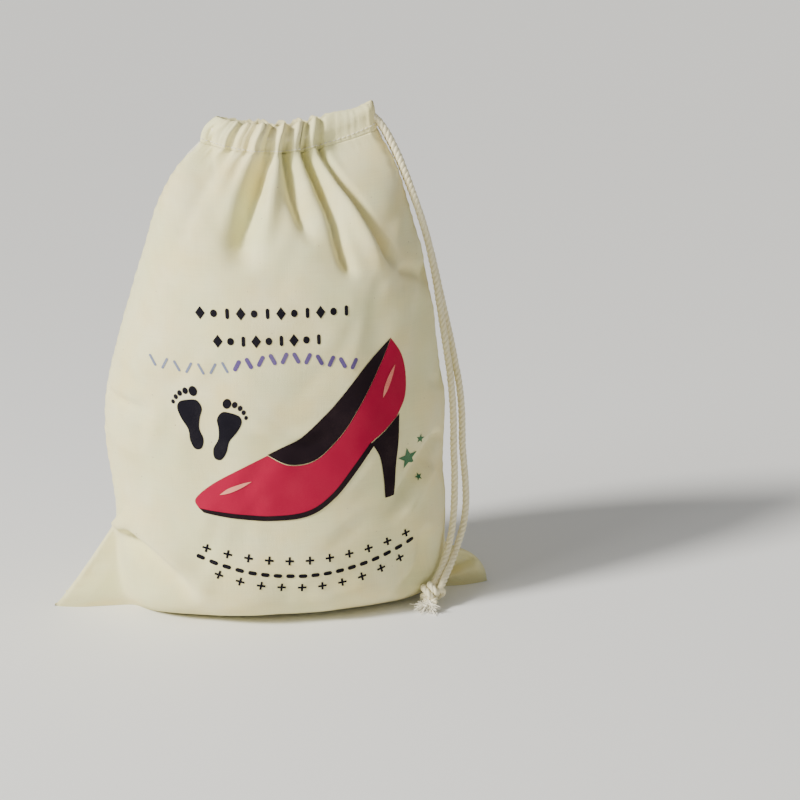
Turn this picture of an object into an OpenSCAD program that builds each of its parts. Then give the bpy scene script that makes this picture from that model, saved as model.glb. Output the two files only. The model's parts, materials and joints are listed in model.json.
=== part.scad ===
// Cotton drawstring shoe bag, standing filled on its flat bottom.
// X runs along the bag's width, -Y is the printed front, +Z is up.
// The origin is under the middle of the bag, at the level it stands on.

/* [Bag] */
// Reach of the left bottom corner, which sticks out as an ear, from the middle
left_ear_x = 148; // [140:1:152]
// Reach of the right bottom corner's ear from the middle
right_ear_x = 148; // [140:1:152]
// Height at which the left ear's ridge meets the side
left_ear_z = 60; // [50:1:66]
// Height at which the right ear's ridge meets the side
right_ear_z = 26; // [22:1:30]
// Thickness of the cotton cloth with its seam turnings, as modelled
cloth_t = 1.2; // [1:0.1:1.4]
// Width of the seam allowance inside the bag
seam_w = 10; // [8:1:12]

/* [Mouth] */
// Height of the middle of the drawstring channel at its lowest point
channel_z = 309; // [307:0.5:311]
// Width of the drawstring channel, from its stitching to the rim
channel_w = 17; // [15:0.5:18]
// How fast the gathered mouth rises away from its lowest point
mouth_rise = 0.00425; // [0.004:0.00005:0.0045]

/* [Cord] */
// Diameter of the drawstring
cord_d = 5; // [4:0.1:5]
// Play between the drawstring and the channel on each side
cord_play = 0.7; // [0.6:0.05:0.8]
// Greatest radius of the knot that joins the two tails
knot_r = 9; // [8:0.5:10]
// Length of each cut end below the knot
cut_end_l = 12; // [8:1:14]

/* [Hidden] */

cream = [0.87, 0.84, 0.72];
cream_inside = [0.80, 0.76, 0.63];
thread_white = [0.93, 0.91, 0.84];
cord_cream = [0.90, 0.86, 0.73];

cord_r = cord_d / 2;
channel_in = cord_r + cord_play;
channel_out = channel_in + cloth_t;
seam_gap = 0.75;
ridge_y = seam_gap + cloth_t;
allowance_y = 0.6;
overlock_y = 0.9;
overlock_w = 1.5;
ear_bulge = 5;
mouth_x = 5;
neck_rise = 0.003;
columns = 32;
ear_columns = 6;
ear_turn = 4;
base_rows = 3;
rows_per_span = 2;

// Filled body from the floor to the top of the neck: height, left side, right
// side and half the depth of each section.
body_sections = [
    [0, -92, 102, 33],
    [9, -98, 113, 57],
    [30, -102, 117.5, 70],
    [70, -104, 116.5, 74.5],
    [105, -107.5, 116, 75.5],
    [140, -108, 115.5, 75],
    [175, -100, 111.5, 72],
    [210, -89, 106.5, 66],
    [240, -79, 100, 55],
    [265, -70, 92.5, 42],
    [285, -57, 84, 29],
    [300.3, -41, 72.5, 15]
];
last_section = len(body_sections) - 1;
neck_section = 8;
row_count = last_section * rows_per_span;

// Middle line of the front half of the channel, seen from above, from the
// cord exit on the right to the left side seam.
mouth_line = [
    [66, -4.8], [60.5, -4.8], [54, -4.8], [42, -5], [32, -6.5], [22, -10],
    [10, -12.8], [-3, -13.4], [-15, -12.4], [-25, -9.4], [-31, -5], [-33.3, -0.4]
];

// The last bend of the drawstring over the corner of the channel, from the
// exit inwards: x, y and z in the front half.
exit_bend = [[71.6, -4, 320.8], [69.4, -4.2, 322.3], [65.2, -4.6, 323.2], [60.5, -4.8, 322]];

// Centre lines of the two tails, from just outside the exit to the knot.
front_route = [
    [74.1, -3.9, 318.3], [79, -4.6, 311], [85.5, -5, 298], [91, -6, 284],
    [96, -7, 270], [100.5, -8, 256], [104.5, -9, 242], [107.5, -10, 228],
    [110, -11, 214], [112, -12, 200], [114, -13, 186], [116, -14, 172],
    [118, -15, 158], [119.5, -15.5, 144], [120.5, -16, 130], [121, -16, 116],
    [121, -16.5, 102], [121.5, -17, 88], [121.5, -17.5, 74], [121, -18.5, 60],
    [119, -22, 46], [115, -27, 33], [109, -34.5, 21.5], [103.6, -41, 14.8]
];
back_route = [
    [74.1, 3.9, 318.3], [79, 4.4, 311], [85.5, 4.4, 298], [91.5, 4.2, 284],
    [97, 3.6, 270], [102, 2.8, 256], [106, 2, 242], [109.5, 1, 228],
    [112.5, 0, 214], [115.5, -1, 200], [118.5, -2, 186], [121.5, -3, 172],
    [124, -4, 158], [126.5, -5, 144], [128, -6, 130], [128.5, -7, 116],
    [128.5, -8, 102], [129.5, -9, 88], [130.5, -10, 74], [130.5, -11.5, 60],
    [128, -15.5, 46.5], [122.5, -22.5, 34], [115.5, -33, 23.5], [108, -44.5, 14.8]
];
knot_centre = [102.5, -46.5, 10.4];
knot_axis = [0.5, 0.62, 0.6];
knot_l = 15;
knot_neck_r = 5.6;

function blend(a, b, t) = a + (b - a) * t;
function unit(v) = v / norm(v);
function limit(v, low, high) = max(low, min(high, v));
function catmull(a, b, c, d, t) =
    0.5 * (2 * b + (c - a) * t + (2 * a - 5 * b + 4 * c - d) * t * t
    + (3 * b - a - 3 * c + d) * t * t * t);

// One smooth section of the body at a place between 0 and the last section.
function section(v) =
    let (i = min(floor(v), last_section - 1))
    let (s = body_sections)
    catmull(s[max(i - 1, 0)], s[i], s[i + 1], s[min(i + 2, last_section)], v - i);

// Side ridges with the ears, at height z.
function left_ridge(s) = s[0] < left_ear_z
    ? min(s[1], -left_ear_x + (left_ear_x - 103) * pow(max(s[0], 0) / left_ear_z, 0.9))
    : s[1];
function right_ridge(s) = s[0] < right_ear_z
    ? max(s[2], 119 + (right_ear_x - 119) * sqrt(1 - pow(max(s[0], 0) / right_ear_z, 2)))
    : s[2];

// Half depth of the gathered neck, taken from the channel that it is sewn to.
neck_pairs = concat([for (p = mouth_line) [p[0], -p[1]]], [[80, 4.8]]);
function neck_depth(x) = lookup(x, neck_pairs) + channel_out - 0.4;

// Share of the neck's own shape in a section: none at the shoulder, all at the top.
function neck_share(v) = pow(limit((v - neck_section) / (last_section - neck_section), 0, 1), 2);

function bulge(x, s) =
    let (left = left_ridge(s), right = right_ridge(s))
    let (l = ear_bulge * limit(1 - s[0] / left_ear_z, 0, 1) * limit((x - left) / 15, 0, 1))
    let (r = ear_bulge * limit(1 - s[0] / right_ear_z, 0, 1) * limit((right - x) / 15, 0, 1))
    x < 0 ? l : r;

function half_depth(x, v) =
    let (s = section(v))
    let (middle = (s[1] + s[2]) / 2, half = (s[2] - s[1]) / 2)
    let (round_part = s[3] * sqrt(max(0, 1 - pow((x - middle) / half, 2))))
    let (edge = limit(min(x - left_ridge(s), right_ridge(s) - x) / 6, 0, 1))
    let (body_y = ridge_y + bulge(x, s) + round_part)
    let (neck_y = ridge_y + (neck_depth(x) - ridge_y) * edge)
    blend(body_y, neck_y, neck_share(v));

// Place across a section: some columns span each ear and the turn beside it,
// and the others span the round part between them.
function column_x(s, j) =
    let (left = s[1] + ear_turn, right = s[2] - ear_turn)
    let (u = (j - ear_columns) / (columns - 2 * ear_columns))
    j < ear_columns ? blend(left_ridge(s), left, pow(j / ear_columns, 1.3))
    : j > columns - ear_columns
        ? blend(right_ridge(s), right, pow((columns - j) / ear_columns, 1.3))
    : blend(left, right, blend(u, (1 - cos(180 * u)) / 2, 0.7));

function outer_point(v, j) =
    let (s = section(v), x = column_x(s, j))
    [x, -half_depth(x, v), s[0] + neck_share(v) * neck_rise * pow(x - mouth_x, 2)];

// Row 0 is the bottom seam, the next ones cross the flat bottom, the rest climb.
function grid_point(i, j) =
    let (p = outer_point(max(i - base_rows, 0) / rows_per_span, j))
    i >= base_rows ? p : [p[0], blend(-seam_gap, p[1], i / base_rows), 0];

last_row = base_rows + row_count;
outer_grid = [for (i = [0:last_row]) [for (j = [0:columns]) grid_point(i, j)]];

function surface_normal(g, i, j) =
    let (across = g[i][min(j + 1, columns)] - g[i][max(j - 1, 0)])
    let (along = g[min(i + 1, last_row)][j] - g[max(i - 1, 0)][j])
    unit(cross(across, along));

function inner_point(g, i, j) =
    let (n = i < base_rows ? [0, 0, -1] : surface_normal(g, i, j))
    let (q = g[i][j] - cloth_t * n)
    [q[0], min(q[1], -seam_gap), i == last_row ? g[i][j][2] : max(q[2], cloth_t)];

inner_grid = [
    for (i = [0:last_row]) [for (j = [0:columns]) inner_point(outer_grid, i, j)]
];

// A closed sheet of cloth between two grids of points, mirrored for the back.
module cloth_sheet(outside, inside, side) {
    rows = len(outside);
    cols = len(outside[0]);
    flat_points = [
        for (g = [outside, inside]) for (r = g) for (p = r) [p[0], side * p[1], p[2]]
    ];
    function at(k, i, j) = (k * rows + i) * cols + j;
    function quad(a, b, c, d) = side > 0 ? [[a, b, c], [a, c, d]] : [[c, b, a], [d, c, a]];
    faces = [
        for (i = [0:rows - 2]) for (j = [0:cols - 2]) each concat(
            quad(at(0, i, j), at(0, i + 1, j), at(0, i + 1, j + 1), at(0, i, j + 1)),
            quad(at(1, i, j), at(1, i, j + 1), at(1, i + 1, j + 1), at(1, i + 1, j))
        ),
        for (i = [0:rows - 2]) each concat(
            quad(at(0, i, 0), at(1, i, 0), at(1, i + 1, 0), at(0, i + 1, 0)),
            quad(at(0, i, cols - 1), at(0, i + 1, cols - 1),
                at(1, i + 1, cols - 1), at(1, i, cols - 1))
        ),
        for (j = [0:cols - 2]) each concat(
            quad(at(0, 0, j), at(0, 0, j + 1), at(1, 0, j + 1), at(1, 0, j)),
            quad(at(0, rows - 1, j), at(1, rows - 1, j),
                at(1, rows - 1, j + 1), at(0, rows - 1, j + 1))
        )
    ];
    polyhedron(flat_points, faces);
}

module front_panel() {
    color(cream) cloth_sheet(outer_grid, inner_grid, 1);
}

module back_panel() {
    color(cream) cloth_sheet(outer_grid, inner_grid, -1);
}

// ---- Drawstring channel ----

function channel_height(x) = channel_z + mouth_rise * pow(x - mouth_x, 2);
function channel_lean(x) = 5 * limit((-18 - x) / 15, 0, 1) - 4 * limit((x - 55) / 11, 0, 1);
last_mouth = len(mouth_line) - 1;

// Outward direction of the channel's middle line, seen from above.
function mouth_normal(i) =
    let (t = i == last_mouth ? [0, 1] : i == 0 ? [-1, 0]
        : unit(mouth_line[i + 1] - mouth_line[i - 1]))
    [-t[1], t[0]];

function channel_ring(i, half_wide, half_high) =
    let (m = mouth_line[i], n = mouth_normal(i))
    let (centre = [m[0], m[1], channel_height(m[0])])
    let (side = half_wide * [n[0], n[1], 0])
    let (up = [channel_lean(m[0]), 0, channel_w / 2] * half_high / (channel_w / 2))
    [centre + side - up, centre + side + up, centre - side + up, centre - side - up];

// A hollow casing with open ends: an outer and an inner square tube.
module casing(side) {
    outer = [for (i = [0:last_mouth]) channel_ring(i, channel_out, channel_w / 2)];
    inner = [for (i = [0:last_mouth]) channel_ring(i, channel_in, channel_w / 2 - cloth_t)];
    count = last_mouth + 1;
    points = [for (g = [outer, inner]) for (r = g) for (p = r) [p[0], side * p[1], p[2]]];
    function at(k, i, j) = (k * count + i) * 4 + j % 4;
    function quad(a, b, c, d) = side > 0 ? [[a, b, c], [a, c, d]] : [[c, b, a], [d, c, a]];
    faces = [
        for (i = [0:last_mouth - 1]) for (j = [0:3]) each concat(
            quad(at(0, i, j), at(0, i + 1, j), at(0, i + 1, j + 1), at(0, i, j + 1)),
            quad(at(1, i, j), at(1, i, j + 1), at(1, i + 1, j + 1), at(1, i + 1, j))
        ),
        for (j = [0:3]) each concat(
            quad(at(0, 0, j), at(0, 0, j + 1), at(1, 0, j + 1), at(1, 0, j)),
            quad(at(0, last_mouth, j), at(1, last_mouth, j),
                at(1, last_mouth, j + 1), at(0, last_mouth, j + 1))
        )
    ];
    polyhedron(points, faces);
}

module front_channel() {
    color(cream) casing(1);
}

module back_channel() {
    color(cream) casing(-1);
}

// A row of thread along the channel's lower edge, just outside its wall.
stitch_out = 0.6;
stitch_high = 1.2;
stitch_up = 1.6;
function stitch_ring(i) =
    let (m = mouth_line[i], n = mouth_normal(i))
    let (up = -channel_w / 2 + stitch_up)
    let (lean = channel_lean(m[0]) * up / (channel_w / 2))
    let (foot = [m[0] + lean, m[1], channel_height(m[0]) + up])
    let (near = (channel_out + 0.02) * [n[0], n[1], 0])
    let (far = (channel_out + stitch_out) * [n[0], n[1], 0])
    let (high = [0, 0, stitch_high])
    [foot + far, foot + far + high, foot + near + high, foot + near];

module channel_thread(side) {
    rings = [for (i = [0:last_mouth]) [for (p = stitch_ring(i)) [p[0], side * p[1], p[2]]]];
    solid_tube(rings, side < 0);
}

module front_channel_stitching() {
    color(thread_white) channel_thread(1);
}

module back_channel_stitching() {
    color(thread_white) channel_thread(-1);
}

// A solid bar through a list of rings that all have the same number of points.
module solid_tube(rings, flip = false) {
    n = len(rings[0]);
    last = len(rings) - 1;
    points = [for (r = rings) for (p = r) p];
    function at(i, j) = i * n + j % n;
    faces = [
        for (i = [0:last - 1]) for (j = [0:n - 1])
            each [[at(i, j), at(i + 1, j), at(i + 1, j + 1)],
                [at(i, j), at(i + 1, j + 1), at(i, j + 1)]],
        [for (j = [0:n - 1]) at(0, j)],
        [for (j = [n - 1:-1:0]) at(last, j)]
    ];
    polyhedron(points, flip ? [for (f = faces) [for (k = [len(f) - 1:-1:0]) f[k]]] : faces);
}

// ---- Seam allowances inside the bag ----

seam_steps = 24;
function seam_v(k) = k / seam_steps * last_section;
function seam_height(v) = max(section(v)[0], 0.3);

// Outline of a strip that follows a side ridge, between two distances inside it.
function side_strip(v_points, near, far, left) = concat(
    [for (v = v_points) side_point(v, near, left)],
    [for (k = [len(v_points) - 1:-1:0]) side_point(v_points[k], far, left)]
);
function side_point(v, inset, left) =
    let (s = section(v))
    let (x = left ? left_ridge(s) + inset : right_ridge(s) - inset)
    [x, seam_height(v) + neck_share(v) * neck_rise * pow(x - mouth_x, 2)];
side_places = [for (k = [0:seam_steps]) seam_v(k)];

module flat_strip(outline, half_t) {
    rotate([90, 0, 0]) translate([0, 0, -half_t])
        linear_extrude(2 * half_t) polygon(outline);
}

module left_side_allowance() {
    color(cream_inside) flat_strip(side_strip(side_places, 0.4, seam_w, true), allowance_y);
}

module right_side_allowance() {
    color(cream_inside) flat_strip(side_strip(side_places, 0.4, seam_w, false), allowance_y);
}

bottom_left_x = -left_ear_x + 24;
bottom_right_x = right_ear_x - 20;
bottom_z = 0.3;

module bottom_allowance() {
    color(cream_inside) translate([bottom_left_x, -allowance_y, bottom_z])
        cube([bottom_right_x - bottom_left_x, 2 * allowance_y, seam_w - 1.2]);
}

overlock_from = seam_w + 0.05;

module left_side_overlock() {
    color(thread_white)
        flat_strip(side_strip(side_places, overlock_from, seam_w + overlock_w, true), overlock_y);
}

module right_side_overlock() {
    color(thread_white)
        flat_strip(side_strip(side_places, overlock_from, seam_w + overlock_w, false), overlock_y);
}

module bottom_overlock() {
    color(thread_white) translate([bottom_left_x, -overlock_y, bottom_z + seam_w - 1.15])
        cube([bottom_right_x - bottom_left_x, 2 * overlock_y, overlock_w]);
}

// ---- Bartacks that close the side seams under the channel ----

bartack_t = 1.4;
bartack_h = 3;

// A bar of thread across a side ridge, tilted to lie along it.
module bartack(x, z, tilt, across) {
    color(thread_white) translate([x, 0, z]) rotate([0, tilt, 0])
        cube([bartack_t, across, bartack_h], center = true);
}

module left_bartack() {
    bartack(-47.3, 303, 36, 8);
}

module cord_exit_bartack() {
    bartack(80.3, 303.5, -23, 3);
}

// ---- Drawstring ----

tube_sides = 8;

// Rings of a round tube along a list of points; up is any direction off the line.
function tube_rings(route, r, up) = [
    for (i = [0:len(route) - 1])
        let (t = unit(route[min(i + 1, len(route) - 1)] - route[max(i - 1, 0)]))
        let (side = unit(cross(t, up)))
        let (high = cross(side, t))
        [for (k = [0:tube_sides - 1])
            let (a = 360 * (k + 0.5) / tube_sides)
            route[i] + r * (cos(a) * side + sin(a) * high)]
];

channel_half = concat(
    exit_bend,
    [for (i = [2:last_mouth - 1])
        let (m = mouth_line[i]) [m[0], m[1], channel_height(m[0])]]
);
channel_turn = [mouth_line[last_mouth][0], 0, channel_height(mouth_line[last_mouth][0])];
channel_route = concat(
    channel_half,
    [channel_turn],
    [for (i = [len(channel_half) - 1:-1:0])
        let (p = channel_half[i]) [p[0], -p[1], p[2]]]
);

module drawstring() {
    color(cord_cream) solid_tube(tube_rings(channel_route, cord_r, [0, 0, 1]));
}

module front_tail() {
    color(cord_cream) solid_tube(tube_rings(front_route, cord_r, [0, 1, 0]));
}

module back_tail() {
    color(cord_cream) solid_tube(tube_rings(back_route, cord_r, [0, 1, 0]));
}

knot_turn = [0, acos(unit(knot_axis)[2]), atan2(knot_axis[1], knot_axis[0])];

module stopper_knot() {
    color(cord_cream) translate(knot_centre) rotate(knot_turn) rotate_extrude($fn = 48)
        polygon([
            [0, -knot_l / 2], [knot_neck_r, -knot_l / 2], [knot_r - 0.8, -knot_l / 4],
            [knot_r, 0], [knot_r - 0.8, knot_l / 4], [knot_neck_r, knot_l / 2], [0, knot_l / 2]
        ]);
}

// A cut end that leaves the knot's foot, turned by spread about the knot's axis.
module cut_end(spread) {
    color(cord_cream) translate(knot_centre) rotate(knot_turn)
        translate([-spread * 0.2, spread, -knot_l / 2 + 1]) rotate([spread * 7, 58, 0])
        mirror([0, 0, 1]) cylinder(h = cut_end_l, r = cord_r, $fn = 32);
}

module front_cut_end() {
    cut_end(-2.7);
}

module back_cut_end() {
    cut_end(2.7);
}

front_panel();
back_panel();
front_channel();
back_channel();
left_side_allowance();
right_side_allowance();
bottom_allowance();
left_side_overlock();
right_side_overlock();
bottom_overlock();
front_channel_stitching();
back_channel_stitching();
left_bartack();
cord_exit_bartack();
drawstring();
front_tail();
back_tail();
stopper_knot();
front_cut_end();
back_cut_end();
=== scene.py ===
"""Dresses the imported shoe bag: gathered cotton cloth, stitching, print, twisted cord and knot."""

import json
import logging
import math
from dataclasses import dataclass, field
from enum import Enum

import bpy
import numpy as np
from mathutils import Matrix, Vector
from mathutils.bvhtree import BVHTree

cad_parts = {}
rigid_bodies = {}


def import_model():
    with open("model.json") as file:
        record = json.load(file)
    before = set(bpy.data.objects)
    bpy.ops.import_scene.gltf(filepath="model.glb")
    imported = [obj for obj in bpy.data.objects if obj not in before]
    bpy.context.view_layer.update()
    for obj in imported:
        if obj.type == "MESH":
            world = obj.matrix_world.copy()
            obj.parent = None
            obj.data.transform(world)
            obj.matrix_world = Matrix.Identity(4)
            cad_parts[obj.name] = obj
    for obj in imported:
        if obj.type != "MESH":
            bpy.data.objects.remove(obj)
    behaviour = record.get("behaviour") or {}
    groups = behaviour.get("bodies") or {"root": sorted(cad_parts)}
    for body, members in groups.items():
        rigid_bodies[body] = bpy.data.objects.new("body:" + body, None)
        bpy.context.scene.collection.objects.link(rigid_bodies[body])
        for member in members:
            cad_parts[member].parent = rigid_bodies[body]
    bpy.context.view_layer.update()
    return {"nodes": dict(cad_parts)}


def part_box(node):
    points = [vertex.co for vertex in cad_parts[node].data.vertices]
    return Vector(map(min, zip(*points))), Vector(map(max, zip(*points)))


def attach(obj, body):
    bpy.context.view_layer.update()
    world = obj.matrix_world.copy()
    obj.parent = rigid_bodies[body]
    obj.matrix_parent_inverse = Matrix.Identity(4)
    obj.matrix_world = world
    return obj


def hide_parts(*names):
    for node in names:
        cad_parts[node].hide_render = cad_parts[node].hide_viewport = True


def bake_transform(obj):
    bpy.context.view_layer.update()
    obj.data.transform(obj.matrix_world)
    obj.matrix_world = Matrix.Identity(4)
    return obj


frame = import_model()

LOG = logging.getLogger("shoe_bag")
MM = 0.001
Points = np.ndarray


class Side(Enum):
    """The two sides of the bag, with the sign that turns the front's depth into theirs."""

    FRONT = 1.0
    BACK = -1.0

    @property
    def word(self) -> str:
        """The side's name as pieces and nodes carry it."""
        return self.name.lower()


# ---------------------------------------------------------------------------
# Small helpers for meshes and curves
# ---------------------------------------------------------------------------


def catmull(points: Points, places: Points) -> Points:
    """Gives points on a smooth curve through a list of points.

    Args:
        points: The points that the curve goes through, one in each row.
        places: Where to take points, counted from 0 at the first point.

    Returns:
        One point for each place.
    """
    last = len(points) - 1
    i = np.clip(np.floor(places).astype(int), 0, last - 1)
    t = (places - i)[:, None]
    a, b = points[np.maximum(i - 1, 0)], points[i]
    c, d = points[i + 1], points[np.minimum(i + 2, last)]
    return 0.5 * (2 * b + (c - a) * t + (2 * a - 5 * b + 4 * c - d) * t**2
                  + (3 * b - a - 3 * c + d) * t**3)


def travelled(path: Points) -> Points:
    """Gives how far along a path each of its points lies."""
    return np.concatenate([[0], np.linalg.norm(np.diff(path, axis=0), axis=1).cumsum()])


def sampled(places: Points, along: Points, values: Points) -> Points:
    """Reads values of three parts at places along a path, between its points.

    Args:
        places: How far along the path to read.
        along: How far along the path each value lies.
        values: The values, one in each row.

    Returns:
        One row for each place.
    """
    return np.stack([np.interp(places, along, values[:, k]) for k in range(3)], axis=1)


def even_curve(points: Points, step: float) -> Points:
    """Gives points at an even distance along the smooth curve through a few points.

    Args:
        points: The points that the curve goes through.
        step: The wanted distance between the new points.

    Returns:
        The new points, from the first to the last.
    """
    fine = catmull(points, np.linspace(0, len(points) - 1, 40 * len(points)))
    along = travelled(fine)
    wanted = np.linspace(0, along[-1], max(int(round(along[-1] / step)), 2) + 1)
    return sampled(wanted, along, fine)


def smooth_step(low: float, high: float, value: Points) -> Points:
    """Rises smoothly from 0 at low to 1 at high."""
    t = np.clip((value - low) / (high - low), 0, 1)
    return t * t * (3 - 2 * t)


def round_rise(value: Points) -> Points:
    """Rises from 0 at 0 to 1 at 1 and above, along a quarter of a circle."""
    return np.sqrt(np.maximum(0, 1 - (1 - np.clip(value, 0, 1)) ** 2))


def turning_frames(path: Points) -> tuple[Points, Points]:
    """Gives two directions square to a path that turn with it as little as they can.

    Args:
        path: Points along the path.

    Returns:
        The first and the second direction at each point.
    """
    tangents = np.gradient(path, axis=0)
    tangents /= np.linalg.norm(tangents, axis=1)[:, None]
    start = np.array([0.0, 1.0, 0.0])
    if abs(tangents[0] @ start) > 0.9:
        start = np.array([0.0, 0.0, 1.0])
    first = np.empty_like(path)
    side = start - tangents[0] * (tangents[0] @ start)
    for i, tangent in enumerate(tangents):
        side = side - tangent * (tangent @ side)
        side /= np.linalg.norm(side)
        first[i] = side
    return first, np.cross(tangents, first)


def tube_mesh(path: Points, radius: Points, sides: int) -> tuple[Points, list[tuple[int, ...]]]:
    """Builds the points and faces of a closed round tube.

    Args:
        path: Points along the middle of the tube.
        radius: The radius at each point.
        sides: How many sides the tube has.

    Returns:
        The points and the faces.
    """
    first, second = turning_frames(path)
    turn = np.linspace(0, 2 * math.pi, sides, endpoint=False)
    ring = (first[:, None, :] * np.cos(turn)[None, :, None]
            + second[:, None, :] * np.sin(turn)[None, :, None])
    points = (path[:, None, :] + ring * radius[:, None, None]).reshape(-1, 3)
    faces = []
    for i in range(len(path) - 1):
        for j in range(sides):
            k = (j + 1) % sides
            faces.append((i * sides + j, i * sides + k, (i + 1) * sides + k, (i + 1) * sides + j))
    faces.append(tuple(range(sides - 1, -1, -1)))
    faces.append(tuple(range((len(path) - 1) * sides, len(path) * sides)))
    return points, faces


def join_parts(parts: list[tuple[Points, list[tuple[int, ...]]]]) -> tuple[Points, list]:
    """Puts the points and faces of several parts into one list of each."""
    points, faces, count = [], [], 0
    for part_points, part_faces in parts:
        points.append(part_points)
        faces.extend(tuple(index + count for index in face) for face in part_faces)
        count += len(part_points)
    return np.concatenate(points), faces


def make_piece(name: str, points: Points, faces: list) -> bpy.types.Object:
    """Makes a smooth mesh object from points in metres and faces.

    Args:
        name: The piece's name.
        points: Its points.
        faces: Its faces, as tuples of point numbers.

    Returns:
        The new object, at the origin.
    """
    mesh = bpy.data.meshes.new(name)
    mesh.from_pydata([tuple(p) for p in points], [], faces)
    mesh.update()
    piece = bpy.data.objects.new(name, mesh)
    bpy.context.scene.collection.objects.link(piece)
    shade_smooth(piece)
    return piece


def shade_smooth(piece: bpy.types.Object) -> None:
    """Shades all faces of a piece smooth."""
    polygons = piece.data.polygons
    polygons.foreach_set("use_smooth", [True] * len(polygons))


def grid_piece(grid: Points) -> bpy.types.Object:
    """Makes a sheet of four-sided faces.

    Args:
        grid: Rows and columns of points in millimetres.

    Returns:
        The new object, which is the active one.
    """
    rows, cols = grid.shape[:2]
    choose()
    bpy.ops.mesh.primitive_grid_add(x_subdivisions=cols - 1, y_subdivisions=rows - 1, size=1)
    sheet = bpy.context.object
    sheet.data.vertices.foreach_set("co", (grid.reshape(-1, 3) * MM).ravel())
    sheet.data.update()
    return sheet


def choose(piece: bpy.types.Object | None = None) -> None:
    """Selects one object and makes it the active one, or without an object selects nothing."""
    for other in bpy.context.scene.objects:
        other.select_set(False)
    if piece is not None:
        piece.select_set(True)
        bpy.context.view_layer.objects.active = piece


def apply_modifier(piece: bpy.types.Object, kind: str, **settings: object) -> None:
    """Adds a modifier with its settings to a piece and applies it."""
    choose(piece)
    modifier = piece.modifiers.new(kind.title(), kind)
    for key, value in settings.items():
        setattr(modifier, key, value)
    bpy.ops.object.modifier_apply(modifier=modifier.name)


def dress(piece: bpy.types.Object, material: bpy.types.Material, node: str) -> None:
    """Gives a piece its finish, hides the part's node that it replaces, and logs its face count.

    Args:
        piece: The piece.
        material: Its finish.
        node: The part's node that it replaces.
    """
    piece.data.materials.append(material)
    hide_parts(node)
    LOG.info("%s: %d faces", piece.name, len(piece.data.polygons))


# ---------------------------------------------------------------------------
# Finishes
# ---------------------------------------------------------------------------


class Sketch:
    """A material's node tree, with short ways to add nodes and join them."""

    def __init__(self, name: str) -> None:
        """Starts a material with one Principled shader."""
        self.material = bpy.data.materials.new(name)
        self.material.use_nodes = True
        self.tree = self.material.node_tree
        self.tree.nodes.clear()
        self.shader = self.add("ShaderNodeBsdfPrincipled")
        output = self.add("ShaderNodeOutputMaterial")
        self.join(self.shader.outputs["BSDF"], output.inputs["Surface"])

    def add(self, kind: str, **settings: object) -> bpy.types.Node:
        """Adds a node and sets its properties."""
        node = self.tree.nodes.new(kind)
        for key, value in settings.items():
            setattr(node, key, value)
        return node

    def join(self, source: object, target: object) -> None:
        """Joins a socket to another, or sets the target to a plain value."""
        if isinstance(source, bpy.types.NodeSocket):
            self.tree.links.new(source, target)
        else:
            target.default_value = source

    def calc(self, kind: str, first: object, second: object = 0.0,
             third: object = 0.0) -> object:
        """Adds a Math node of a kind such as MULTIPLY and gives its result."""
        node = self.add("ShaderNodeMath", operation=kind)
        for socket, value in zip(node.inputs, (first, second, third)):
            self.join(value, socket)
        return node.outputs[0]

    def noise(self, vector: object, scale: float, detail: float = 2.0) -> object:
        """Adds a noise texture and gives its value."""
        node = self.add("ShaderNodeTexNoise")
        self.join(vector, node.inputs["Vector"])
        node.inputs["Scale"].default_value = scale
        node.inputs["Detail"].default_value = detail
        return node.outputs["Fac"]

    def stretched(self, vector: object, scale: tuple[float, float, float]) -> object:
        """Stretches a texture's coordinates."""
        node = self.add("ShaderNodeMapping")
        self.join(vector, node.inputs["Vector"])
        node.inputs["Scale"].default_value = scale
        return node.outputs["Vector"]

    def ramp(self, value: object, low: float, high: float) -> object:
        """Maps a value from low..high to 0..1, held at both ends."""
        node = self.add("ShaderNodeMapRange", clamp=True)
        self.join(value, node.inputs["Value"])
        node.inputs["From Min"].default_value = low
        node.inputs["From Max"].default_value = high
        return node.outputs["Result"]

    def mix(self, share: object, first: object, second: object) -> object:
        """Mixes two colours."""
        node = self.add("ShaderNodeMix", data_type="RGBA")
        self.join(share, node.inputs[0])
        self.join(first, node.inputs[6])
        self.join(second, node.inputs[7])
        return node.outputs[2]

    def bump(self, height: object, distance: float) -> None:
        """Raises the surface by a height of at most the distance, in metres."""
        node = self.add("ShaderNodeBump")
        self.join(height, node.inputs["Height"])
        node.inputs["Distance"].default_value = distance
        self.join(node.outputs["Normal"], self.shader.inputs["Normal"])

    def set(self, **values: object) -> None:
        """Sets or joins the Principled shader's sockets, named with _ for a space."""
        for key, value in values.items():
            self.join(value, self.shader.inputs[key.replace("_", " ")])


Colour = tuple[float, float, float, float]


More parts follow.
